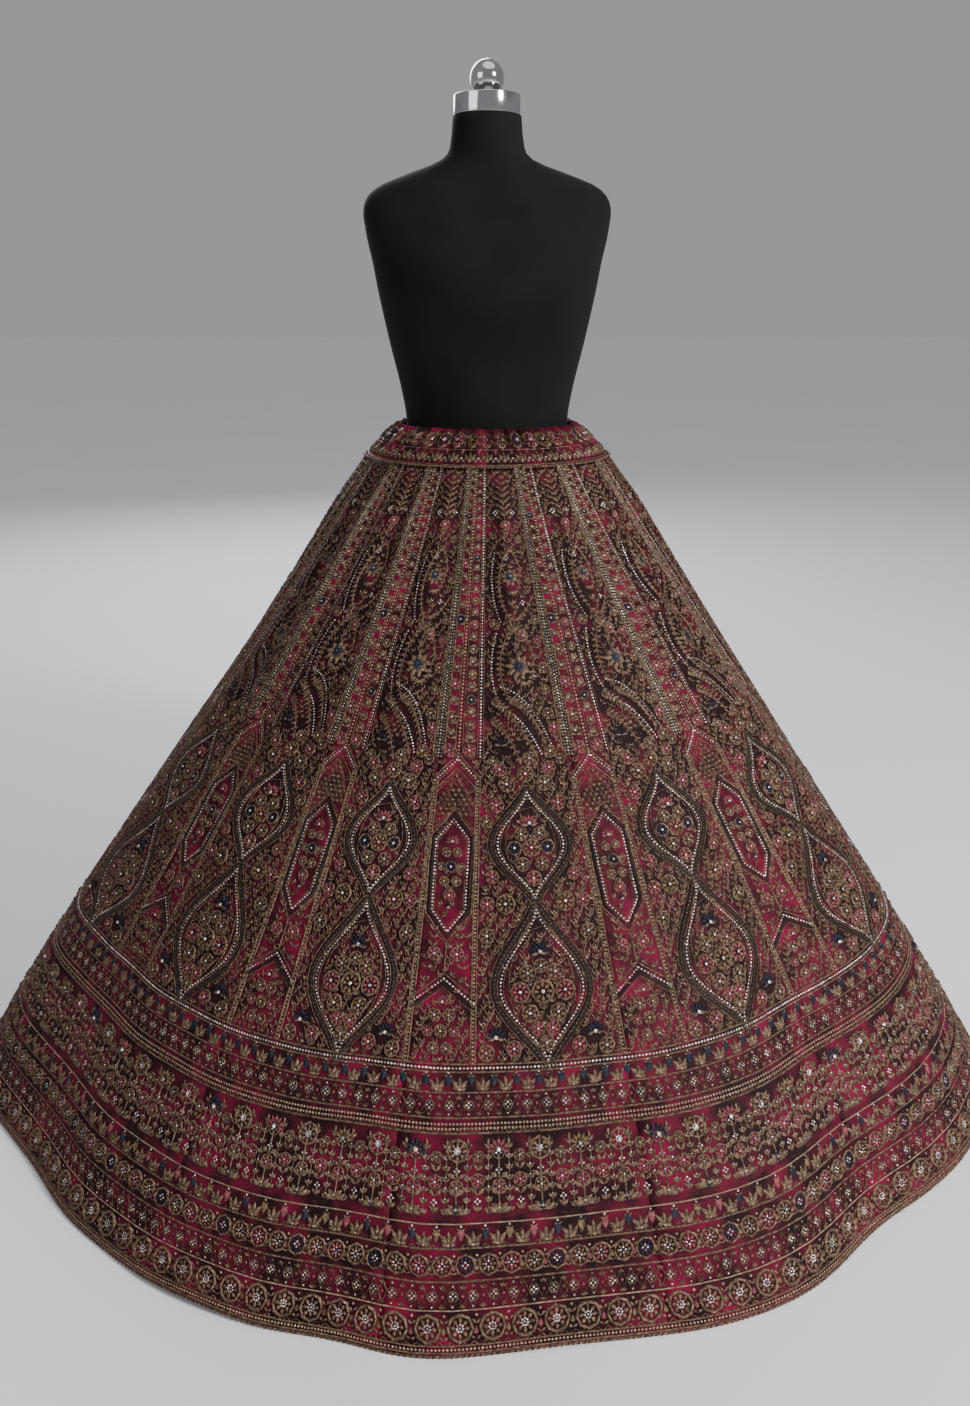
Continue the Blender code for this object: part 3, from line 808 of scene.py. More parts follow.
def grown(mesh, tree, inputs):
    """The points and faces that a tree makes of a mesh."""
    maker = bpy.data.objects.new("maker", mesh)
    bpy.context.scene.collection.objects.link(maker)
    modifier = maker.modifiers.new("tree", "NODES")
    modifier.node_group = tree
    for item in tree.interface.items_tree:
        if item.in_out == "INPUT" and item.name in inputs:
            modifier[item.identifier] = inputs[item.name]
    graph = bpy.context.evaluated_depsgraph_get()
    plain = bpy.data.meshes.new_from_object(maker.evaluated_get(graph))
    maker.modifiers.clear()
    points = np.empty(len(plain.vertices) * 3, np.float32)
    plain.vertices.foreach_get("co", points)
    faces = [tuple(face.vertices) for face in plain.polygons]
    bpy.data.objects.remove(maker)
    bpy.data.meshes.remove(plain)
    return points.reshape(-1, 3).astype(float), faces


sewn, laid, strung, taken = {}, {}, {}, []


def width_at(up):
    """Width of the kali at one chart height."""
    return float(panel_width(up))


def at(column, up, across=0.0):
    """Chart place across from a column, which is a share of the kali's width."""
    return ((column - 0.5) * width_at(up) + across, up)


def sew_at(shape, thread, x, y, size, turned=0.0, lift=MOTIF_LIFT):
    """Sews one motif at a chart place: its turn in degrees is from upright, towards the left."""
    sewn.setdefault((shape, thread), []).append((x, y, lift, math.radians(turned), size))
    taken.append((x, y, size * MOTIF_CLEAR))


def sew(shape, thread, column, up, size, turned=0.0, across=0.0, lift=MOTIF_LIFT):
    """Sews one motif on a column of the kali, leaning with it."""
    x, y = at(column, up, across)
    sew_at(shape, thread, x, y, size, turned + math.degrees((column - 0.5) * KALI_TAPER), lift)


def couch(kind, points, closed=False, lift=CORD_LIFT):
    """Couches one cord along chart places."""
    laid.setdefault((kind, lift), []).append((points, closed))
    clear = CORD_SIZES[kind][0]
    for (x, y), (next_x, next_y) in zip(points, points[1:]):
        steps = max(1, round(math.hypot(next_x - x, next_y - y) / CORD_CLEAR_STEP))
        for k in range(steps):
            f = k / steps
            taken.append((x + (next_x - x) * f, y + (next_y - y) * f, clear))


def string(shape, thread, points, pitch, size, closed=False):
    """Strings motifs along chart places."""
    strung.setdefault((shape, thread, pitch, size), []).append((points, closed))
    for x, y in points:
        taken.append((x, y, size))


def line_mesh(lines, lift):
    """A mesh of edges from lines of chart places."""
    points, edges = [], []
    for places, closed in lines:
        first = len(points)
        points += [(x, y, lift) for x, y in places]
        edges += [(k, k + 1) for k in range(first, len(points) - 1)]
        if closed:
            edges.append((len(points) - 1, first))
    mesh = bpy.data.meshes.new("lines")
    mesh.from_pydata(points, edges, [])
    return mesh


def drawn():
    """What has been drawn since the last piece: (thread, points, faces) for each kind."""
    parts = []
    for (shape, thread), rows in sewn.items():
        mesh = bpy.data.meshes.new("places")
        mesh.from_pydata([row[:3] for row in rows], [], [])
        for name, values in (("turned", [r[3] for r in rows]), ("grown", [r[4] for r in rows])):
            mesh.attributes.new(name, "FLOAT", "POINT").data.foreach_set("value", values)
        inputs = {"Motif": motif_objects[shape], "Thread": THREADS[thread]}
        parts.append((thread, *grown(mesh, MOTIF_TREE, inputs)))
    for (kind, lift), lines in laid.items():
        half_width, rise, thread = CORD_SIZES[kind]
        inputs = {"Half Width": half_width, "Rise": rise, "Thread": THREADS[thread]}
        parts.append((thread, *grown(line_mesh(lines, lift), CORD_TREE, inputs)))
    for (shape, thread, pitch, size), lines in strung.items():
        inputs = {
            "Motif": motif_objects[shape],
            "Pitch": pitch,
            "Size": size,
            "Thread": THREADS[thread],
        }
        parts.append((thread, *grown(line_mesh(lines, MOTIF_LIFT), STRING_TREE, inputs)))
    for store in (sewn, laid, strung):
        store.clear()
    return parts


def sewn_piece(name, parts, lay_down, repeats):
    """Sews drawn parts onto the cloth at every repeat, as one piece."""
    threads = list(dict.fromkeys(part[0] for part in parts))
    points, chart, faces = [], [], [[] for _ in threads]
    first = 0
    for thread, places, shapes in parts:
        group = faces[threads.index(thread)]
        for repeat in repeats:
            points.append(lay_down(places, repeat))
            chart.append(places[:, :2])
            group.extend([tuple(first + k for k in face) for face in shapes])
            first += len(places)
    materials = [THREADS[thread] for thread in threads]
    piece = plain_mesh(name, np.concatenate(points), faces, materials, np.concatenate(chart))
    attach(piece, "root")
    return piece


def embroider(name):
    """Sews what has been drawn onto every kali."""
    sewn_piece(name, drawn(), on_cloth, range(PANELS))


# The flower stripes
# Down to the knee each kali carries a dark beaded band with stones on its seam, two
# columns of thread flowers with a dotted zari stripe on bare velvet between them, and
# a single line of stones.
STRIPES_TOP = 0.739
STRIPES_LOW = 0.352
SEAM_LIFT = 0.0002
STONE_PITCH = 0.0041
STRIPE_HOOP = 1.18
STRIPE_LEAF = 0.0096
STRIPE_LEAVES = (
    # spread, rise in leaf lengths
    (62.0, -0.30),
    (42.0, 0.05),
    (24.0, 0.35),
)
FLOWER_STONE, FLOWER_STONE_LIFT, FLOWER_STONE_TURN = 0.21, 0.18, 20.0
SEAM_LINE, WIDE_COLUMN, DOTTED_LINE, SMALL_COLUMN, SINGLE_LINE = 0.0, 0.082, 0.153, 0.233, 0.318
WIDE_FLOWERS = (
    # up, thread, radius
    (0.360, "pink", 0.0080),
    (0.402, "gold", 0.0078),
    (0.444, "pink", 0.0070),
    (0.486, "mustard", 0.0070),
    (0.527, "navy", 0.0066),
    (0.566, "gold", 0.0062),
    (0.602, "pink", 0.0058),
    (0.636, "mustard", 0.0052),
    (0.668, "navy", 0.0048),
    (0.696, "pink", 0.0044),
    (0.722, "gold", 0.0040),
)
SMALL_FLOWERS = (
    (0.360, "pink", 0.0074),
    (0.392, "gold", 0.0056),
    (0.424, "navy", 0.0056),
    (0.456, "mustard", 0.0056),
    (0.488, "gold", 0.0054),
    (0.520, "pink", 0.0052),
    (0.551, "mustard", 0.0048),
    (0.581, "gold", 0.0046),
    (0.610, "navy", 0.0044),
    (0.638, "pink", 0.0042),
    (0.665, "gold", 0.0038),
    (0.690, "mustard", 0.0036),
    (0.714, "pink", 0.0034),
)


def narrowed(up):
    """How much the cut narrows a motif towards the waist."""
    return width_at(up) / width_at(0.36)


def down(column, high, low, across=0.0, step=0.016, narrow=True):
    """Places down a column, from high to low."""
    count = max(2, round((high - low) / step) + 1)
    places = []
    for k in range(count):
        up = high + (low - high) * k / (count - 1)
        places.append(at(column, up, across * (narrowed(up) if narrow else 1.0)))
    return places


def flower(column, up, radius, thread, across=0.0, shape="flower", hoop_radius=0.0):
    """A thread flower with a stone in its middle, and in a gold hoop if that has a radius."""
    sew(shape, thread, column, up, radius, 0.0, across)
    lift = MOTIF_LIFT + FLOWER_STONE_LIFT * radius
    sew("stone", "stone", column, up, FLOWER_STONE * radius, FLOWER_STONE_TURN, across, lift)
    if hoop_radius:
        sew("hoop", "gold", column, up, hoop_radius, 0.0, across)


def leaf_pair(column, up, length, spread, thread="gold", across=0.0, apart=0.0):
    """Two leaves that open upwards from one place."""
    for side in (-1, 1):
        sew("leaf", thread, column, up, length, side * spread, across - side * apart)


for side in (-1, 1):
    string("bead", "pale", down(SEAM_LINE, STRIPES_TOP, STRIPES_LOW, side * 0.0036), 0.0040, 0.00120)
    couch("zari", down(SEAM_LINE, STRIPES_TOP, STRIPES_LOW, side * 0.0068))
    couch("fine", down(SINGLE_LINE, STRIPES_TOP, STRIPES_LOW, side * 0.0036))
    couch("fine", down(DOTTED_LINE, STRIPES_TOP, STRIPES_LOW, side * 0.0042))
couch("seam", down(SEAM_LINE, STRIPES_TOP, STRIPES_LOW), lift=SEAM_LIFT)
for column in (SEAM_LINE, SINGLE_LINE):
    string("stone", "stone", down(column, STRIPES_TOP, STRIPES_LOW), STONE_PITCH, 0.00125)
string("bead", "pale", down(DOTTED_LINE, STRIPES_TOP, STRIPES_LOW), 0.0046, 0.00150)
for column, rows in ((WIDE_COLUMN, WIDE_FLOWERS), (SMALL_COLUMN, SMALL_FLOWERS)):
    for (up, thread, radius), (next_up, _, _) in zip(rows, rows[1:] + ((STRIPES_TOP, "", 0.0),)):
        flower(column, up, radius, thread, hoop_radius=STRIPE_HOOP * radius)
        middle = (up + next_up) / 2.0
        long = STRIPE_LEAF * narrowed(up)
        for spread, rise in STRIPE_LEAVES:
            leaf_pair(column, middle + rise * long - 0.3 * long, long, spread)
        sew("stone", "stone", column, middle + 0.1 * long, 0.0011)
embroider("flower_stripes")


# The paisley fields
# The widest stripe of each kali holds a feather of leaves over two curled paisley
# heads with long tails of leafy fronds, lined with stones, and flowers between them.
FIELD = 0.655
FIELD_HALF = 0.285
HOOP_SHARE = 1.2
FROND_STEP, SWEEP_STEP = 0.0066, 0.008
FROND_TAPER, FROND_SPREAD = 0.35, 46.0
FEATHER_LEAVES, FEATHER_STEP = 7, 0.0088
FIELD_FAN = (0.366, -0.62)
FRONDS = (
    # places as (across, up) for the start, the bend and the end, and the leaf's length
    ((-0.35, 0.598), (0.10, 0.646), (0.52, 0.596), 0.0078),
    ((0.52, 0.596), (0.46, 0.556), (0.02, 0.562), 0.0070),
    ((-0.35, 0.598), (-0.66, 0.566), (-0.24, 0.534), 0.0074),
    ((-0.24, 0.534), (0.20, 0.512), (0.86, 0.552), 0.0074),
    ((-0.30, 0.526), (0.02, 0.496), (0.62, 0.520), 0.0078),
    ((-0.42, 0.494), (0.08, 0.548), (0.60, 0.480), 0.0092),
    ((0.60, 0.480), (0.50, 0.432), (0.04, 0.446), 0.0084),
    ((-0.42, 0.494), (-0.76, 0.452), (-0.30, 0.424), 0.0088),
    ((-0.30, 0.424), (0.20, 0.420), (0.56, 0.374), 0.0096),
    ((-0.86, 0.424), (-0.20, 0.408), (0.26, 0.358), 0.0100),
    ((-0.90, 0.398), (-0.50, 0.392), (-0.18, 0.352), 0.0092),
)
STONE_SWEEPS = (
    ((-0.62, 0.616), (-1.00, 0.566), (-0.48, 0.524)),
    ((-0.66, 0.508), (-1.10, 0.450), (-0.52, 0.412)),
    ((-0.56, 0.440), (0.24, 0.436), (0.76, 0.366)),
    ((-0.70, 0.416), (0.00, 0.410), (0.46, 0.354)),
)
PAISLEY_EYES = ((0.584, 0.02, 0.0058), (0.466, 0.04, 0.0078))
FIELD_FLOWERS = (
    # up, across, thread, radius
    (0.655, 0.00, "pink", 0.0062),
    (0.634, 0.66, "mustard", 0.0050),
    (0.640, -0.70, "gold", 0.0048),
    (0.578, 0.86, "gold", 0.0056),
    (0.524, 0.88, "gold", 0.0058),
    (0.520, -0.72, "mustard", 0.0062),
    (0.505, 0.30, "pink", 0.0066),
    (0.498, 0.84, "pink", 0.0056),
    (0.462, 0.88, "gold", 0.0064),
    (0.434, 0.84, "mustard", 0.0058),
    (0.404, 0.80, "gold", 0.0066),
    (0.386, 0.92, "pink", 0.0072),
    (0.356, 0.70, "mustard", 0.0072),
    (0.350, 0.10, "gold", 0.0076),
    (0.346, 0.94, "gold", 0.0060),
    (0.346, -0.84, "gold", 0.0060),
)
STONE_CLUSTERS = ((0.548, 0.46), (0.672, 0.52), (0.672, -0.52), (0.452, 0.50), (0.610, -0.10))


def in_field(up, share):
    """Distance from the field's middle line at a share of its half width."""
    return share * FIELD_HALF * width_at(up)


def bent(start, bend, end, step):
    """Chart places along a bent line across the field, and each one's heading."""
    ends = [at(FIELD, up, in_field(up, across)) for across, up in (start, bend, end)]
    a, b, c = (np.array(place) for place in ends)
    length = 0.5 * (np.linalg.norm(b - a) + np.linalg.norm(c - b) + np.linalg.norm(c - a))
    count = max(4, round(length / step) + 1)
    f = np.linspace(0.0, 1.0, count)[:, None]
    places = (1.0 - f) ** 2 * a + 2.0 * f * (1.0 - f) * b + f**2 * c
    along_line = 2.0 * (1.0 - f) * (b - a) + 2.0 * f * (c - b)
    headings = np.degrees(np.arctan2(along_line[:, 1], along_line[:, 0]))
    return [tuple(place) for place in places], headings


def cluster(column, up, across=0.0, stones=4, radius=0.0024, size=0.00125):
    """Stones set close together round a middle."""
    for k in range(stones):
        spin = 2.0 * math.pi * k / stones
        sew("stone", "stone", column, up + radius * math.cos(spin), size, 0.0,
            across + radius * math.sin(spin))
    if stones > 4:
        sew("stone", "stone", column, up, size, 0.0, across)


def frond(start, bend, end, length):
    """A couched stem with leaves to both sides that lean towards its tip."""
    places, headings = bent(start, bend, end, FROND_STEP)
    couch("zari", places)
    for k, ((x, y), heading) in enumerate(zip(places, headings)):
        grown_leaf = length * (1.0 - FROND_TAPER * k / len(places))
        for side in (-1, 1):
            sew_at("blade", "gold", x, y, grown_leaf, heading - 90.0 + side * FROND_SPREAD)
    sew_at("leaf", "gold", *places[-1], length, headings[-1] - 90.0)


for start, bend, end, length in FRONDS:
    frond(start, bend, end, length)
for start, bend, end in STONE_SWEEPS:
    places, _ = bent(start, bend, end, SWEEP_STEP)
    string("stone", "stone", places, 0.0040, 0.00120)
for up, across, size in PAISLEY_EYES:
    shift = in_field(up, across)
    sew("drop", "navy", FIELD, up, size, 24.0, shift, 0.0012)
    sew("hoop", "gold", FIELD, up, 1.5 * size, 0.0, shift)
    sew("stone", "stone", FIELD, up + 0.1 * size, 0.0016, 0.0, shift, 0.0030)
    for k in range(9):
        sew("leaf", "gold", FIELD, up, 2.3 * size, 40.0 * k, shift, 0.0003)
for k in range(FEATHER_LEAVES):
    leaf_pair(FIELD, 0.668 + FEATHER_STEP * k, 0.0110 - 0.0006 * k, 40.0)
    leaf_pair(FIELD, 0.664 + FEATHER_STEP * k, 0.0100 - 0.0006 * k, 60.0, "gold", 0.0, 0.0040)
couch("fine", down(FIELD, 0.736, 0.662))
for up, across, thread, radius in FIELD_FLOWERS:
    flower(FIELD, up, radius, thread, in_field(up, across), hoop_radius=HOOP_SHARE * radius)
for up, across in STONE_CLUSTERS:
    cluster(FIELD, up, in_field(up, across))
sew("fan", "navy", FIELD, FIELD_FAN[0], 0.0105, 0.0, in_field(*FIELD_FAN))
leaf_pair(FIELD, FIELD_FAN[0], 0.0090, 80.0, "gold", in_field(*FIELD_FAN))
embroider("paisley_fields")


# The lattice and the cartouches
# Below the flower stripes a pointed arch of stones opens over a fine lattice, then a
# long six-sided cartouche on bare velvet, and under it two small fields and an arch.
CARTOUCHE = 0.152
CARTOUCHE_SIDES = (0.0, 0.304)
ARCH_PEAK, ARCH_SPRING = 0.350, 0.322
LATTICE_LOW, LATTICE_HIGH, LATTICE_STEP = 0.282, 0.338, 0.0068
ROW_SHARE = 0.86
ARCH_LINES = (
    # kind, below the arch
    ("zari", -0.006),
    ("stones", 0.0),
    ("fine", 0.0045),
    ("zari", 0.012),
    ("fine", 0.017),
)
LOW_ARCH_LINES = (("zari", -0.006), ("stones", 0.0), ("thick", 0.0055), ("fine", 0.0095))
CARTOUCHE_CORDS = (
    # kind, inset
    ("fine", -0.0075),
    ("zari", -0.0050),
    ("thick", -0.0012),
    ("fine", 0.0046),
)
SIDE_FLOWER_UP = 0.120
CARTOUCHE_TOP, CARTOUCHE_SHOULDER, CARTOUCHE_FOOT, CARTOUCHE_LOW = 0.279, 0.252, 0.168, 0.141
CARTOUCHE_HALF = 0.0215
CARTOUCHE_FLOWERS = (
    # up, across to both sides, thread, radius, shape
    (0.249, 0.0000, "pink", 0.0085, "fan"),
    (0.236, 0.0065, "gold", 0.0052, "flower"),
    (0.219, 0.0000, "navy", 0.0062, "daisy"),
    (0.219, 0.0112, "gold", 0.0044, "flower"),
    (0.202, 0.0070, "mustard", 0.0054, "flower"),
    (0.186, 0.0000, "pink", 0.0064, "flower"),
    (0.172, 0.0000, "navy", 0.0048, "fan"),
)
LOW_ARCH_PEAK, LOW_ARCH_SPRING = 0.093, 0.066
LOW_ARCH_FLOWERS = (
    (0.068, 0.0000, "pink", 0.0082, "fan"),
    (0.054, 0.0080, "gold", 0.0066, "flower"),
    (0.037, 0.0000, "mustard", 0.0064, "daisy"),
    (0.037, 0.0150, "pink", 0.0056, "flower"),
    (0.019, 0.0075, "gold", 0.0060, "flower"),
)


def arch(column, sides, peak, spring, kind, lower=0.0):
    """A pointed arch between two columns."""
    places = [at(sides[0], spring - lower), at(column, peak - lower), at(sides[1], spring - lower)]
    if kind == "stones":
        string("stone", "stone", places, STONE_PITCH, 0.00125)
    else:
        couch(kind, places)


def six_sided(half_width, inset=0.0):
    """The cartouche's outline, drawn in from its edge."""
    top, low = CARTOUCHE_TOP - 1.6 * inset, CARTOUCHE_LOW + 1.6 * inset
    shoulder, foot = CARTOUCHE_SHOULDER - 0.6 * inset, CARTOUCHE_FOOT + 0.6 * inset
    side = half_width - inset
    return [
        at(CARTOUCHE, top),
        at(CARTOUCHE, shoulder, side),
        at(CARTOUCHE, foot, side),
        at(CARTOUCHE, low),
        at(CARTOUCHE, foot, -side),
        at(CARTOUCHE, shoulder, -side),
    ]


def bouquet(column, rows):
    """Hooped flowers, and fans between two leaves, set close together to both sides."""
    for up, across, thread, radius, shape in rows:
        hoop_radius = 0.0 if shape == "fan" else HOOP_SHARE * radius
        for shift in sorted({across, -across}, reverse=True):
            flower(column, up, radius, thread, shift, shape, hoop_radius)
            if shape == "fan":
                leaf_pair(column, up - 0.1 * radius, 0.9 * radius, 95.0, "gold", shift)


for kind, lower in ARCH_LINES:
    arch(CARTOUCHE, CARTOUCHE_SIDES, ARCH_PEAK, ARCH_SPRING, kind, lower)
for row in range(int((LATTICE_HIGH - LATTICE_LOW) / (ROW_SHARE * LATTICE_STEP)) + 1):
    up = LATTICE_LOW + ROW_SHARE * LATTICE_STEP * row
    reach = 0.5 * CARTOUCHE_SIDES[1] * width_at(up) - 0.005
    for k in range(-4, 5):
        across = (k + 0.5 * (row % 2)) * LATTICE_STEP
        roof = ARCH_SPRING - 0.018 + (ARCH_PEAK - ARCH_SPRING) * (1.0 - abs(across) / reach)
        over_point = CARTOUCHE_TOP + 0.006 - 0.9 * abs(across) < up < roof
        if abs(across) < reach and over_point:
            sew("hoop", "gold", CARTOUCHE, up, 0.0030, 0.0, across)
            sew("bead", "pink" if (row + k) % 3 == 0 else "pale", CARTOUCHE, up, 0.0012, 0.0, across)
for column in CARTOUCHE_SIDES:
    for side in (-1, 1):
        couch("zari", down(column, ARCH_SPRING, 0.004, side * 0.0026, narrow=False))
    string("bead", "pale", down(column, ARCH_SPRING, 0.004), 0.0042, 0.0013)
for kind, inset in CARTOUCHE_CORDS:
    couch(kind, six_sided(CARTOUCHE_HALF, inset), True)
string("stone", "stone", six_sided(CARTOUCHE_HALF, 0.0022), STONE_PITCH, 0.00122, True)
couch("gap", six_sided(CARTOUCHE_HALF, 0.0072), True)
bouquet(CARTOUCHE, CARTOUCHE_FLOWERS)
couch("zari", down(CARTOUCHE, CARTOUCHE_LOW - 0.008, LOW_ARCH_PEAK + 0.004))
for side in (-1, 1):
    flower(CARTOUCHE, SIDE_FLOWER_UP, 0.0072, "pink", side * 0.0130, hoop_radius=0.0086)
    for k in range(3):
        leaf_pair(CARTOUCHE, 0.128 + 0.009 * k, 0.0090, 40.0, "gold", side * 0.0150)
    leaf_pair(CARTOUCHE, 0.104, 0.0085, 60.0, "gold", side * 0.0200)
for kind, lower in LOW_ARCH_LINES:
    arch(CARTOUCHE, CARTOUCHE_SIDES, LOW_ARCH_PEAK, LOW_ARCH_SPRING, kind, lower)
bouquet(CARTOUCHE, LOW_ARCH_FLOWERS)
embroider("lattice_and_cartouches")


# The ogees
# Two pointed ovals, one over the other, run down the middle of each kali's wide
# stripe. Their zari bands cross between them, and a bouquet stands in each on velvet.
OGEE = 0.645
OGEE_POINT, OGEE_SOFTENS, OGEE_SWELL = 1.7, 26.0, 0.86
OGEES = (
    # top, widest, bottom, half_width
    (0.309, 0.243, 0.182, 0.0400),
    (0.170, 0.080, 0.004, 0.0482),
)
OGEE_RINGS = (
    # kind, grown_by
    ("fine", 0.0112),
    ("band", 0.0071),
    ("fine", 0.0032),
    ("fine", -0.0040),
    ("gap", -0.0072),
    ("fine", -0.0105),
)
OGEE_FLOWERS = (
    (
        (0.2704, 0.0000, "pink", 0.0114, "fan"),
        (0.2576, 0.0107, "gold", 0.0074, "flower"),
        (0.2410, 0.0000, "mustard", 0.0100, "daisy"),
        (0.2410, 0.0194, "navy", 0.0079, "flower"),
        (0.2218, 0.0115, "gold", 0.0077, "flower"),
        (0.2052, 0.0000, "pink", 0.0084, "flower"),
    ),
    (
        (0.1215, 0.0000, "navy", 0.0125, "fan"),
        (0.1062, 0.0000, "gold", 0.0073, "flower"),
        (0.0985, 0.0156, "gold", 0.0086, "flower"),
        (0.0780, 0.0000, "mustard", 0.0120, "daisy"),
        (0.0780, 0.0256, "pink", 0.0104, "daisy"),
        (0.0550, 0.0160, "gold", 0.0088, "flower"),
        (0.0383, 0.0083, "pink", 0.0073, "flower"),
        (0.0230, 0.0000, "gold", 0.0078, "flower"),
    ),
)
BESIDE_OGEES = (
    # up, across to both sides, thread, radius, shape
    (0.318, 0.0230, "gold", 0.0090, "flower"),
    (0.331, 0.0000, "mustard", 0.0094, "daisy"),
    (0.336, 0.0300, "pink", 0.0076, "flower"),
    (0.292, 0.0370, "pink", 0.0083, "flower"),
    (0.272, 0.0500, "gold", 0.0073, "flower"),
    (0.207, 0.0480, "pink", 0.0071, "flower"),
    (0.176, 0.0350, "mustard", 0.0104, "daisy"),
    (0.176, 0.0560, "pink", 0.0076, "flower"),
    (0.140, 0.0590, "gold", 0.0083, "flower"),
    (0.030, 0.0560, "navy", 0.0118, "fan"),
    (0.018, 0.0370, "pink", 0.0080, "flower"),
    (0.014, 0.0680, "gold", 0.0083, "flower"),
)


def ogee(top, widest, bottom, half_width, grown_by=0.0, count=15):
    """A pointed oval, its sides drawn in towards both points."""
    sides = []
    for side in (1, -1):
        places = []
        for k in range(count):
            f = k / (count - 1)
            longer = OGEE_POINT * grown_by
            up = top + longer + (bottom - top - 2.0 * longer) * f
            reach = (widest - up) / (widest - top if up > widest else bottom - widest)
            reach = abs(reach) / (1.0 + OGEE_SOFTENS * abs(grown_by))
            swell = 0.5 + 0.5 * math.cos(math.pi * min(1.0, reach))
            places.append(at(OGEE, up, side * (half_width + grown_by) * swell**OGEE_SWELL))
        sides.append(places)
    return sides[0] + sides[1][-2:0:-1]


for (top, widest, bottom, half_width), flowers in zip(OGEES, OGEE_FLOWERS):
    for kind, grown_by in OGEE_RINGS:
        couch(kind, ogee(top, widest, bottom, half_width, grown_by), True)
    string("stone", "stone", ogee(top, widest, bottom, half_width, -0.0006), 0.0042, 0.00132, True)
    string("bead", "pale", ogee(top, widest, bottom, half_width, 0.0071), 0.0050, 0.0015, True)
    bouquet(OGEE, flowers)
bouquet(OGEE, BESIDE_OGEES)
sew("leaf", "gold", OGEE, 0.196, 0.0120, 0.0)
sew("leaf", "gold", OGEE, 0.018, 0.0120, 0.0)
embroider("ogees")


# The hem border
# Rows of work run round below the ring of stones: palmettes with hanging tufts, a
# diamond lattice, beads, a row of flowering plants, and rounds of flowers at the hem.
RING_UP = -0.0012
BORDER_CORDS = (
    # up, kind
    (0.0030, "zari"),
    (-0.0052, "zari"),
    (-0.0260, "zari"),
    (-0.0515, "zari"),
    (-0.0670, "zari"),
    (-0.1550, "bright"),
    (-0.1785, "zari"),
    (-0.2100, "zari"),
    (-0.2370, "bright"),
    (-0.2700, "zari"),
    (-0.2765, "zari"),
)
BEAD_ROWS = (-0.0575, -0.0622, -0.2732)
PALMETTE_ROWS = (
    # up, count, size, drop_threads
    (-0.0240, 10, 0.0145, ("navy",)),
    (-0.1762, 11, 0.0150, ("pink", "navy", "mustard")),
)
LATTICE_ROWS = (
    # high, low, count
    (-0.0285, -0.0490, 12),
    (-0.2125, -0.2345, 14),
)
ROUND_ROWS = (
    # up, count, radius, threads
    (-0.1945, 12, 0.0088, ("gold", "pink", "gold", "navy")),
    (-0.2535, 9, 0.0112, ("gold",)),
)
SCALLOPS, SCALLOP_RISE = 26, 0.0040
SCALLOP_ROWS = (-0.0670, -0.1785, -0.2700)
PLANT_FOOT, PLANT_HEAD = -0.150, -0.084
PLANT_HEADS = (
    # thread, shape, radius
    ("navy", "fan", 0.0128),
    ("gold", "daisy", 0.0108),
    ("pink", "fan", 0.0128),
    ("gold", "daisy", 0.0108),
    ("mustard", "fan", 0.0120),
    ("pink", "daisy", 0.0104),
)


def round_line(up, count=9):
    """Chart places right across the kali at one height."""
    return [at(k / (count - 1), up) for k in range(count)]


string("stone", "stone", round_line(RING_UP), STONE_PITCH, 0.00145)
for up, kind in BORDER_CORDS:
    couch(kind, round_line(up))
for up in BEAD_ROWS:
    string("bead", "pale", round_line(up), 0.0040, 0.00150)
for up, count, size, threads in PALMETTE_ROWS:
    for k in range(count):
        column = (k + 0.5) / count
        sew("palmette", "gold", column, up, size)
        leaf_pair(column, up + 0.04 * size, 0.55 * size, 74.0)
        sew("bead", "pale", column, up + 0.10 * size, 0.0016, 0.0, 0.0, 0.0016)
        between = k / count
        thread = threads[k % len(threads)]
        sew("drop", thread, between, up + 0.80 * size, 0.0042, 180.0)
        sew("stone", "stone", between, up + 1.25 * size, 0.0013)
        leaf_pair(between, up + 0.95 * size, 0.0050, 62.0)
for high, low, count in LATTICE_ROWS:
    for ends in ((high, low), (low, high)):
        couch("fine", [at(k / (2 * count), ends[k % 2]) for k in range(2 * count + 1)])
    for k in range(count):
        cluster((k + 0.5) / count, (high + low) / 2.0)
        sew("hoop", "gold", (k + 0.5) / count, (high + low) / 2.0, 0.0058)
        sew("bead", "pink", k / count, (high + low) / 2.0, 0.0017)
        for place in (high - 0.0030, low + 0.0010):
            sew("sprig", "gold", k / count, place - 0.0016, 0.0052)
        sew("stone", "stone", (k + 0.5) / count, high - 0.0012, 0.0011)
        sew("stone", "stone", (k + 0.5) / count, low + 0.0012, 0.0011)
for base in SCALLOP_ROWS:
    steps = 2 * SCALLOPS
    couch("fine", [at(k / steps, base + SCALLOP_RISE * (k % 2)) for k in range(steps + 1)])

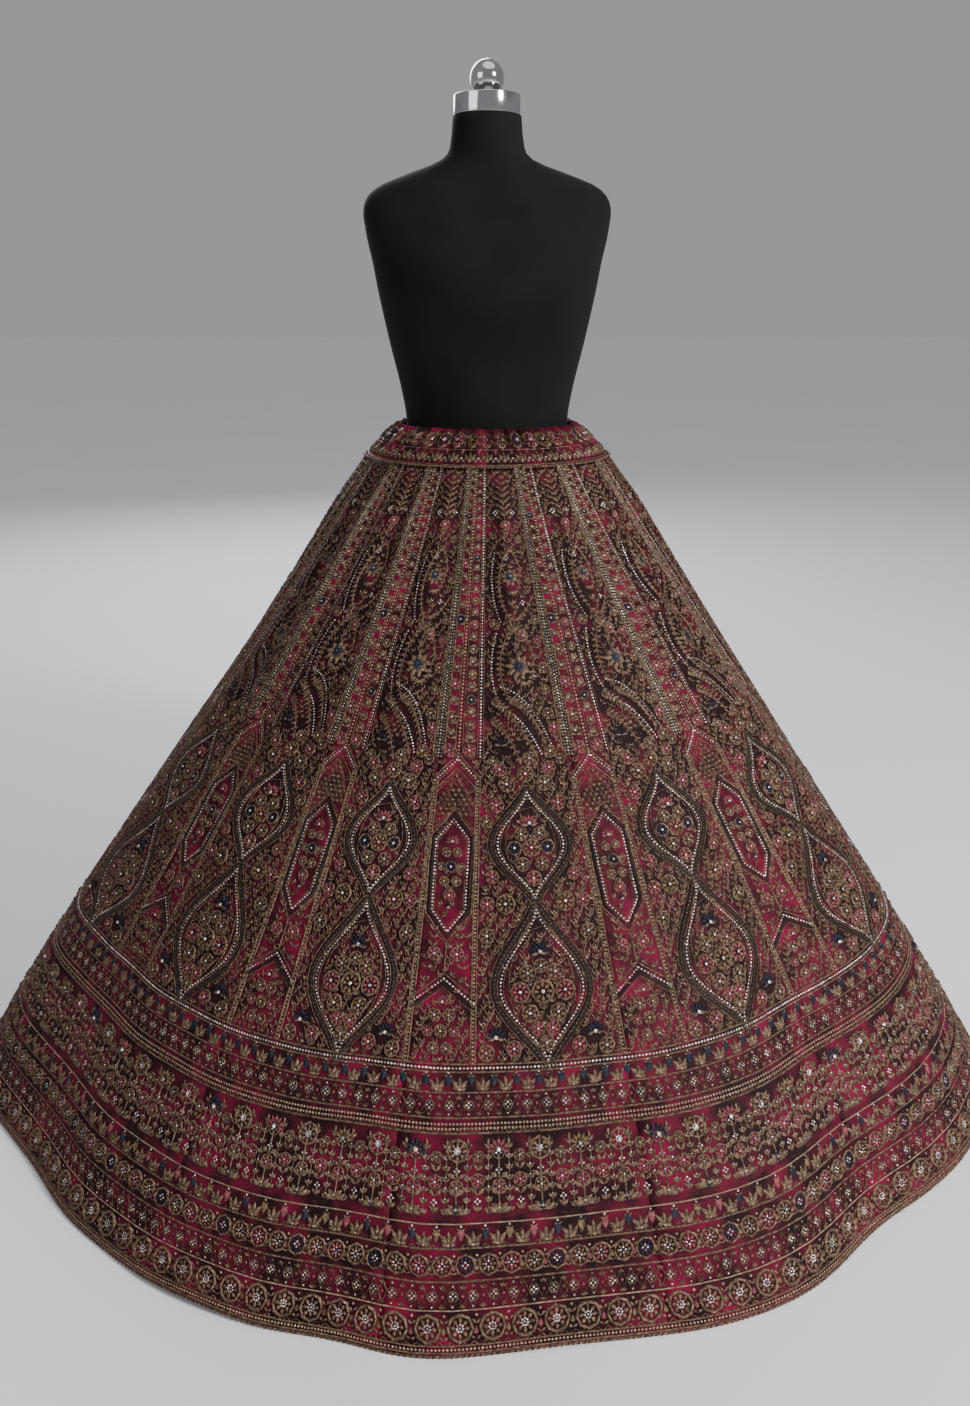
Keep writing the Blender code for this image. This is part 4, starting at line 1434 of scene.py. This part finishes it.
plants = len(PLANT_HEADS)
for k, (thread, shape, radius) in enumerate(PLANT_HEADS):
    column = (k + 0.5) / plants
    couch("zari", [at(column, PLANT_HEAD - 0.004), at(column, PLANT_FOOT + 0.010)])
    flower(column, PLANT_HEAD, radius, thread, 0.0, shape)
    if shape == "fan":
        sew("hoop", "gold", column, PLANT_HEAD - 0.0030, 0.0070)
        cluster(column, PLANT_HEAD - 0.0030, 0.0, 4, 0.0026)
    else:
        sew("hoop", "gold", column, PLANT_HEAD, HOOP_SHARE * radius)
        cluster(column, PLANT_HEAD, 0.0, 7, 0.0030)
    flower(column, PLANT_HEAD - 0.036, 0.0066, "gold" if k % 2 else "pink", hoop_radius=0.0082)
    cluster(column, PLANT_HEAD - 0.020)
    for n in range(3):
        leaf_pair(column, PLANT_HEAD - 0.028 - 0.016 * n, 0.0118, 60.0 - 6.0 * n)
    flower(column, PLANT_FOOT + 0.009, 0.0058, "navy" if k % 2 else "gold")
    leaf_pair(column, PLANT_FOOT + 0.004, 0.0150, 68.0)
    for aside in (-0.25, 0.25):
        stem = column + aside / plants
        couch("fine", [at(stem, PLANT_HEAD + 0.006), at(stem, PLANT_FOOT + 0.008)])
        sew("blade", "gold", stem, PLANT_HEAD + 0.004, 0.0085)
        for n in range(7):
            leaf_pair(stem, PLANT_HEAD + 0.001 - 0.0105 * n, 0.0074, 38.0)
            sew("stone", "stone", stem, PLANT_HEAD + 0.006 - 0.0105 * n, 0.0010)
    between = k / plants
    flower(between, PLANT_HEAD - 0.006, 0.0056, "gold", hoop_radius=0.0068)
    leaf_pair(between, PLANT_HEAD - 0.020, 0.0100, 35.0)
    flower(between, PLANT_HEAD - 0.030, 0.0066, "pink", hoop_radius=0.0080)
    leaf_pair(between, PLANT_HEAD - 0.044, 0.0105, 44.0)
    cluster(between, PLANT_HEAD - 0.050)
    sew("palmette", "gold", between, PLANT_FOOT + 0.006, 0.0090)

for up, count, radius, threads in ROUND_ROWS:
    for k in range(count):
        column = (k + 0.5) / count
        thread = threads[k % len(threads)]
        sew("hoop", "gold", column, up, 1.32 * radius)
        sew("daisy", thread, column, up, radius)
        cluster(column, up, 0.0, 7 if radius > 0.010 else 4, 0.30 * radius)
        between = k / count
        sew("drop", "pink" if k % 2 else "mustard", between, up - 0.30 * radius, 0.0026)
        leaf_pair(between, up + 0.35 * radius, 0.60 * radius, 48.0)
        leaf_pair(between, up - 0.95 * radius, 0.55 * radius, 60.0)
        sew("bead", "pale", between, up + 1.05 * radius, 0.0015)
embroider("hem_border")


# The leafy ground
# Every gap that the larger motifs leave, except the bare velvet inside their rings,
# is filled with small gold sprigs and seed stones that stand like herringbone.
GROUND_PITCH = 0.0070
GROUND_LEAF = 0.0064
GROUND_CLEAR = 0.0022
GROUND_LOW, GROUND_MARGIN = 0.008, 0.004
GROUND_NEAR = 0.020
GROUND_LEAN, GROUND_LEAN_STEP = 38.0, 9.0
BARE_RING = 0.0130
BARE_VELVET = (
    # column, half_width, high, low
    (0.153, 0.050, 0.742, 0.352),
    (0.345, 0.024, 0.742, 0.352),
)


def is_inside(x, y, outline):
    """Whether a chart place lies inside a closed outline."""
    inside = False
    for (x1, y1), (x2, y2) in zip(outline, outline[1:] + outline[:1]):
        if (y1 > y) != (y2 > y) and x < x1 + (x2 - x1) * (y - y1) / (y2 - y1):
            inside = not inside
    return inside


BARE_RINGS = [(six_sided(CARTOUCHE_HALF), six_sided(CARTOUCHE_HALF, BARE_RING))]
BARE_RINGS += [(ogee(*sizes), ogee(*sizes, -BARE_RING)) for sizes in OGEES]


def is_bare(column, up):
    """Whether the velvet is left plain there."""
    for middle, half_width, high, low in BARE_VELVET:
        if abs(column - middle) < half_width and low < up < high:
            return True
    x, _ = at(column, up)
    for outer, inner in BARE_RINGS:
        if is_inside(x, up, outer) and not is_inside(x, up, inner):
            return True
    return False


places = np.array(taken)
row_step = ROW_SHARE * GROUND_PITCH
rows = int((WAIST_UP - GROUND_LOW) / row_step)
for row in range(rows):
    up = GROUND_LOW + row * row_step
    if up > WAIST_UP - GROUND_MARGIN:
        break
    width = width_at(up)
    count = max(4, int(width / GROUND_PITCH))
    near = places[np.abs(places[:, 1] - up) < GROUND_NEAR]
    for k in range(count):
        column = (k + 0.25 + 0.5 * (row % 2)) / count
        x = (column - 0.5) * width
        gaps = np.hypot(near[:, 0] - x, near[:, 1] - up) - near[:, 2]
        if gaps.min() < GROUND_CLEAR or is_bare(column, up):
            continue
        lean = GROUND_LEAN if (k + row // 2) % 2 else -GROUND_LEAN
        lean += GROUND_LEAN_STEP * ((k * 5 + row * 3) % 5 - 2)
        sew("sprig", "gold", column, up - 0.0022, GROUND_LEAF, lean)
        if (k * 7 + row * 3) % 5 == 0:
            sew("stone", "stone", column, up, 0.0009)
embroider("leafy_ground")


# The waistband
# A straight velvet band gathered onto the top of the kalis. Its upper edge is puckered
# into a small ruffle, with thread flowers over a cord and zari palmettes under it.
BAND_TOP_HEIGHT = 0.858
SEAM_HALF_WIDTH = float(SKIRT_PROFILE[0, 1])
BAND_TOP_HALF_WIDTH = 0.1259
BAND_TOP_DEPTH_SHARE = 0.822
BAND_SWELL = 0.004
BAND_SHELL = 0.0015
GATHERS = 2 * PANELS
GATHER_DEPTH, GATHER_VARIES, GATHER_OPENS = 0.0048, (0.72, 1.1), 1.1
GATHER_RISE, RISE_VARIES = 0.0022, (0.4, 1.4)
PUCKERS = 7 * PANELS
PUCKER_DEPTH, PUCKER_VARIES = 0.0016, (0.35, 1.0)
PUCKER_FROM, PUCKER_OVER = 0.25, 0.6
PUCKER_RISE = 0.0016
BAND_AROUND, BAND_ROWS = 672, 16
BAND_REPEATS = 40
BAND_RADIUS = 0.150
BAND_UP = BAND_TOP_HEIGHT - SEAM_HEIGHT
BAND_LINES_UP = (0.0208, 0.0030)
BAND_FLOWERS_UP = 0.0312
BAND_FLOWERS = ("pink", "gold", "navy", "pink", "mustard")


def band_point(turn, share):
    """Outer face of the waistband, from the waist seam up to its ruffled edge."""
    half_width = SEAM_HALF_WIDTH + (BAND_TOP_HALF_WIDTH - SEAM_HALF_WIDTH) * share
    depth_share = SEAM_DEPTH_SHARE + (BAND_TOP_DEPTH_SHARE - SEAM_DEPTH_SHARE) * share
    crest, number = waves(turn, GATHERS)
    depth = GATHER_DEPTH * varied(number * 5 + 2, *GATHER_VARIES)
    reach = oval(turn, half_width, depth_share) + BAND_SWELL * np.sin(math.pi * share)
    reach = reach + (2.0 * depth * crest - GATHER_DEPTH) * ease(share * GATHER_OPENS)
    pucker, pucker_number = waves(turn, PUCKERS)
    pucker = pucker * varied(pucker_number * 3, *PUCKER_VARIES)
    reach = reach + PUCKER_DEPTH * pucker * ease((share - PUCKER_FROM) / PUCKER_OVER)
    height = SEAM_HEIGHT + BAND_UP * share + SEAM_GAP * (1.0 - share)
    height = height + GATHER_RISE * crest * varied(number, *RISE_VARIES) * share**3
    height = height + PUCKER_RISE * (pucker - 0.5) * share**4
    return round_axis(turn, reach, height)


def on_band(chart, repeat):
    """Lays chart points on one repeat of the waistband's pattern."""
    turn = 360.0 * repeat / BAND_REPEATS + np.degrees(chart[:, 0] / BAND_RADIUS)
    share = np.clip(chart[:, 1] / BAND_UP, 0.0, 1.0)
    return band_point(turn, share) + chart[:, 2:] * facing(band_point, turn, share)


def ring_faces(rows, around, first=0, inside=False):
    """Quads between the rows of a closed ring."""
    faces = []
    for r in range(rows - 1):
        for k in range(around):
            a, b = first + r * around + k, first + r * around + (k + 1) % around
            quad = (a, b, b + around, a + around)
            faces.append(quad[::-1] if inside else quad)
    return faces


turn, share = np.meshgrid(
    np.arange(BAND_AROUND) * 360.0 / BAND_AROUND, np.linspace(0.0, 1.0, BAND_ROWS)
)
outer = band_point(turn, share)
normal = facing(band_point, turn, share)
inner = outer - BAND_SHELL * normal
for row in (0, -1):
    inner[row, :, 2] = outer[row, :, 2]
points = np.concatenate((outer.reshape(-1, 3), inner.reshape(-1, 3)))
behind = BAND_ROWS * BAND_AROUND
faces = ring_faces(BAND_ROWS, BAND_AROUND) + ring_faces(BAND_ROWS, BAND_AROUND, behind, True)
for k in range(BAND_AROUND):
    n = (k + 1) % BAND_AROUND
    top = (BAND_ROWS - 1) * BAND_AROUND
    faces.append((n, k, behind + k, behind + n))
    faces.append((top + k, top + n, behind + top + n, behind + top + k))
chart = np.stack((np.radians(turn) * BAND_RADIUS, share * BAND_UP), axis=-1).reshape(-1, 2)
band = plain_mesh("waistband_cloth", points, [faces], [VELVET], np.tile(chart, (2, 1)))
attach(band, "root")
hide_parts("waistband")

repeat_width = 2.0 * math.pi * BAND_RADIUS / BAND_REPEATS
half_repeat = repeat_width / 2.0
for up in BAND_LINES_UP:
    couch("fine", [(-half_repeat, up), (0.0, up), (half_repeat, up)])
for side in (-1, 1):
    sew_at("leaf", "gold", side * 0.0062, 0.0050, 0.0085, -side * 34.0)
sew_at("palmette", "gold", 0.0, 0.0055, 0.0135)
sew_at("bead", "pale", 0.0, 0.0085, 0.0016, 0.0, 0.0018)
sew_at("stone", "stone", half_repeat, 0.0110, 0.0013)
sew_at("sprig", "gold", half_repeat, 0.0300, 0.0070, 180.0)
sew_at("sprig", "gold", half_repeat, 0.0330, 0.0060)
sew_at("drop", "pink", half_repeat, 0.0180, 0.0020, 180.0)
band_work = sewn_piece("waistband_work", drawn(), on_band, range(BAND_REPEATS))
for number, thread in enumerate(BAND_FLOWERS):
    sew_at("daisy", thread, 0.0, BAND_FLOWERS_UP, 0.0084)
    sew_at("hoop", "gold", 0.0, BAND_FLOWERS_UP, 0.0094)
    sew_at("stone", "stone", 0.0, BAND_FLOWERS_UP, 0.0022, 20.0, 0.0024)
    repeats = range(number, BAND_REPEATS, len(BAND_FLOWERS))
    flower_name = "waistband_%s_flowers_%d" % (thread, number + 1)
    sewn_piece(flower_name, drawn(), on_band, repeats)


# The waist cord and the hem piping
# Two-ply cords of antique zari, laid twisted on the waist seam and sewn round the hem
# as its piping.
WAIST_CORD_RADIUS, WAIST_CORD_PITCH, WAIST_CORD_STEPS = 0.0020, 0.010, 720
PIPING_RADIUS, PIPING_PITCH, PIPING_STEPS = 0.0025, 0.012, 1600
CORD_CLEARANCE = 0.0005
CLOTH = 0.0025
PLY_SIDES, PLY_SHARE = 6, 0.52


def plied_cord(name, line, outward, radius, pitch, node_name):
    """Two strands twisted round a closed line."""
    count = len(line)
    step = np.linalg.norm(np.roll(line, -1, axis=0) - line, axis=1)
    length = step.sum()
    turns = max(1, round(length / pitch))
    travel = np.concatenate(((0.0,), np.cumsum(step)[:-1])) / length
    points, faces = [], []
    strand_radius = PLY_SHARE * radius
    for strand in range(2):
        phase = 2.0 * math.pi * (travel * turns + 0.5 * strand)
        lift = np.stack((np.zeros(count), np.zeros(count), np.ones(count)), axis=1)
        centre = line + (radius - strand_radius) * (
            np.cos(phase)[:, None] * outward + np.sin(phase)[:, None] * lift)
        first = sum(len(p) for p in points)
        for side in range(PLY_SIDES):
            spin = 2.0 * math.pi * side / PLY_SIDES
            points.append(centre + strand_radius * (math.cos(spin) * outward + math.sin(spin) * lift))
        for side in range(PLY_SIDES):
            a, b = first + side * count, first + ((side + 1) % PLY_SIDES) * count
            for k in range(count):
                n = (k + 1) % count
                faces.append((a + k, a + n, b + n, b + k))
    points = np.concatenate(points)
    chart = np.tile(np.stack((travel * length, np.zeros(count)), axis=1), (2 * PLY_SIDES, 1))
    cord = plain_mesh(name, points, [faces], [THREADS["gold"]], chart)
    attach(cord, "root")
    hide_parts(node_name)


def pointing_out(turn):
    """The level direction away from the axis."""
    return round_axis(turn, 1.0, np.zeros(len(turn)))


turn = np.arange(WAIST_CORD_STEPS) * 360.0 / WAIST_CORD_STEPS
share = np.zeros(len(turn))
off_cloth = (WAIST_CORD_RADIUS + CORD_CLEARANCE) * facing(skirt_point, turn, share)
line = skirt_point(turn, share) + off_cloth
plied_cord("waist_cord_twist", line, pointing_out(turn), WAIST_CORD_RADIUS, WAIST_CORD_PITCH, "waist_cord")
turn = np.arange(PIPING_STEPS) * 360.0 / PIPING_STEPS
share = np.ones(len(turn))
line = skirt_point(turn, share) - 0.5 * CLOTH * pointing_out(turn)
line[:, 2] = PIPING_RADIUS + hem_lift(turn, share)
plied_cord("hem_piping_twist", line, pointing_out(turn), PIPING_RADIUS, PIPING_PITCH, "hem_piping")


# The dress form
# A padded shell covered in black stretch cloth, with no limbs. A seam runs down the
# middle of its front and back, and another round the bottom of the neck.
FORM_AROUND, FORM_STEPS = 96, 84
NECK_SEAM_HEIGHT = 1.199
SEAM_DENT, FRONT_SEAM_WIDTH, NECK_SEAM_WIDTH = 0.0007, 0.0018, 0.0022
FORM_CLOTH = (0.0018, 0.0018, 0.0021, 1.0)
FORM_CLOTH_WORN = (0.0042, 0.0042, 0.0048, 1.0)
FORM_SECTIONS = np.array((
    # height, half_width, half_depth, forward, squareness
    (0.640, 0.1480, 0.1060, 0.000, 2.2),
    (0.665, 0.1540, 0.1110, -0.002, 2.2),
    (0.700, 0.1560, 0.1130, -0.003, 2.2),
    (0.760, 0.1460, 0.1070, -0.003, 2.2),
    (0.815, 0.1270, 0.0980, -0.001, 2.1),
    (0.858, 0.1158, 0.0930, 0.000, 2.0),
    (0.905, 0.1215, 0.0950, 0.002, 2.1),
    (0.965, 0.1350, 0.1010, 0.006, 2.2),
    (1.030, 0.1480, 0.1140, 0.014, 2.2),
    (1.070, 0.1550, 0.1120, 0.013, 2.3),
    (1.110, 0.1640, 0.0980, 0.004, 2.4),
    (1.143, 0.1660, 0.0800, -0.003, 2.5),
    (1.164, 0.1500, 0.0660, -0.006, 2.4),
    (1.180, 0.1120, 0.0570, -0.008, 2.2),
    (1.192, 0.0760, 0.0530, -0.006, 2.0),
    (1.203, 0.0550, 0.0510, -0.003, 2.0),
    (1.220, 0.0485, 0.0480, 0.000, 2.0),
    (1.249, 0.0452, 0.0452, 0.003, 2.0),
))


def form_cloth_material():
    """Black jersey: a fine knit that is a little dusty where it is stretched."""
    made, tree, shader = new_material("black_jersey")
    place = own_place(tree)
    knit = node(tree, "ShaderNodeTexWave", inputs={"Vector": place, "Scale": 480.0, "Distortion": 1.0})
    dust = noise(tree, place, 14.0, 4.0)
    colour = ramp(tree, dust, ((0.35, FORM_CLOTH), (0.7, FORM_CLOTH_WORN)))
    fill(tree, shader, {"Base Color": colour, "Roughness": 0.85, "Specular IOR Level": 0.15})
    bump(tree, shader, knit.outputs["Fac"], 0.3, 0.0004)
    return made


def end_faces(rows, around):
    """The two flat ends of a closed ring of rows."""
    last = (rows - 1) * around
    return [tuple(reversed(range(around))), tuple(range(last, last + around))]


angle, height = np.meshgrid(
    2.0 * math.pi * np.arange(FORM_AROUND) / FORM_AROUND,
    np.linspace(FORM_SECTIONS[0, 0], FORM_SECTIONS[-1, 0], FORM_STEPS),
)
half_width, half_depth, forward, squareness = (along(FORM_SECTIONS, height, k) for k in (1, 2, 3, 4))
s, c = np.sin(angle), np.cos(angle)
front_seam = np.exp(-((np.abs(s) * half_width) / FRONT_SEAM_WIDTH) ** 2)
neck_seam = np.exp(-((height - NECK_SEAM_HEIGHT) / NECK_SEAM_WIDTH) ** 2)
dent = 1.0 - SEAM_DENT * np.maximum(front_seam, neck_seam) / np.minimum(half_width, half_depth)
x = dent * half_width * np.sign(s) * np.abs(s) ** (2.0 / squareness)
y = -dent * half_depth * np.sign(c) * np.abs(c) ** (2.0 / squareness) - forward
points = np.stack((x, y, height), axis=-1).reshape(-1, 3)
faces = ring_faces(FORM_STEPS, FORM_AROUND) + end_faces(FORM_STEPS, FORM_AROUND)
form = plain_mesh("form_body", points, [faces], [form_cloth_material()])
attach(form, "root")
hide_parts("form_torso")


# The neck cap, its ball and the stand
# A spun and polished metal cap closes the neck, with a ball on it to lift the form by.
# The pole and the round foot under the skirt are of the same plated steel.
CAP_RADIUS, CAP_HEIGHT, CAP_EDGE = 0.0438, 0.0245, 0.0012
NECK_FORWARD = 0.003
BALL_RADIUS, BALL_SUNK = 0.0222, 0.0028
BALL_ROWS, BALL_END = 29, 89.0
TURNED_SIDES, SHARP_FROM = 72, 40.0
CHROME = (0.52, 0.52, 0.53, 1.0)
CHROME_DULL = (0.30, 0.30, 0.31, 1.0)


def chrome_material():
    """Polished plating with faint spun rings and a few smears."""
    made, tree, shader = new_material("polished_chrome")
    place = own_place(tree)
    smear = noise(tree, place, 30.0, 3.0)
    colour = ramp(tree, smear, ((0.3, CHROME_DULL), (0.6, CHROME)))
    fill(tree, shader, {"Base Color": colour, "Metallic": 1.0, "Roughness": 0.10})
    rings = node(tree, "ShaderNodeTexWave", {"bands_direction": "Z"}, {"Vector": place, "Scale": 160.0})
    bump(tree, shader, rings.outputs["Fac"], 0.05, 0.0003)
    return made


def turned_piece(name, outline, node_name, material):
    """A piece turned about the neck's axis, from an outline of radius and height."""
    points = []
    for radius, height in outline:
        for k in range(TURNED_SIDES):
            angle = 2.0 * math.pi * k / TURNED_SIDES
            points.append((radius * math.sin(angle), -NECK_FORWARD - radius * math.cos(angle), height))
    faces = ring_faces(len(outline), TURNED_SIDES) + end_faces(len(outline), TURNED_SIDES)
    piece = plain_mesh(name, np.array(points), [faces], [material])
    piece.data.set_sharp_from_angle(angle=math.radians(SHARP_FROM))
    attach(piece, "root")
    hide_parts(node_name)


chrome = chrome_material()
cap_low = FORM_SECTIONS[-1, 0] + SEAM_GAP
cap_high = cap_low + CAP_HEIGHT
corner = [math.radians(a) for a in (0.0, 30.0, 60.0, 90.0)]
cap_outline = [(CAP_RADIUS - CAP_EDGE * (1.0 - math.sin(a)), cap_low + CAP_EDGE * (1.0 - math.cos(a)))
               for a in corner]
cap_outline += [(CAP_RADIUS - CAP_EDGE * (1.0 - math.cos(a)), cap_high - CAP_EDGE * (1.0 - math.sin(a)))
                for a in corner]
turned_piece("neck_cap", cap_outline, "form_neck_cap", chrome)
ball_middle = cap_high + SEAM_GAP + BALL_RADIUS - BALL_SUNK
ball_start = math.asin(-(BALL_RADIUS - BALL_SUNK) / BALL_RADIUS)
ball_outline = []
for k in range(BALL_ROWS):
    angle = ball_start + (math.radians(BALL_END) - ball_start) * k / (BALL_ROWS - 1)
    ball_outline.append((BALL_RADIUS * math.cos(angle), ball_middle + BALL_RADIUS * math.sin(angle)))
turned_piece("neck_ball", ball_outline, "form_ball", chrome)
for node_name in ("stand_pole", "stand_foot"):
    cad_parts[node_name].data.materials.clear()
    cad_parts[node_name].data.materials.append(chrome)


for motif in motif_objects.values():
    bpy.data.objects.remove(motif)


low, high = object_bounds()
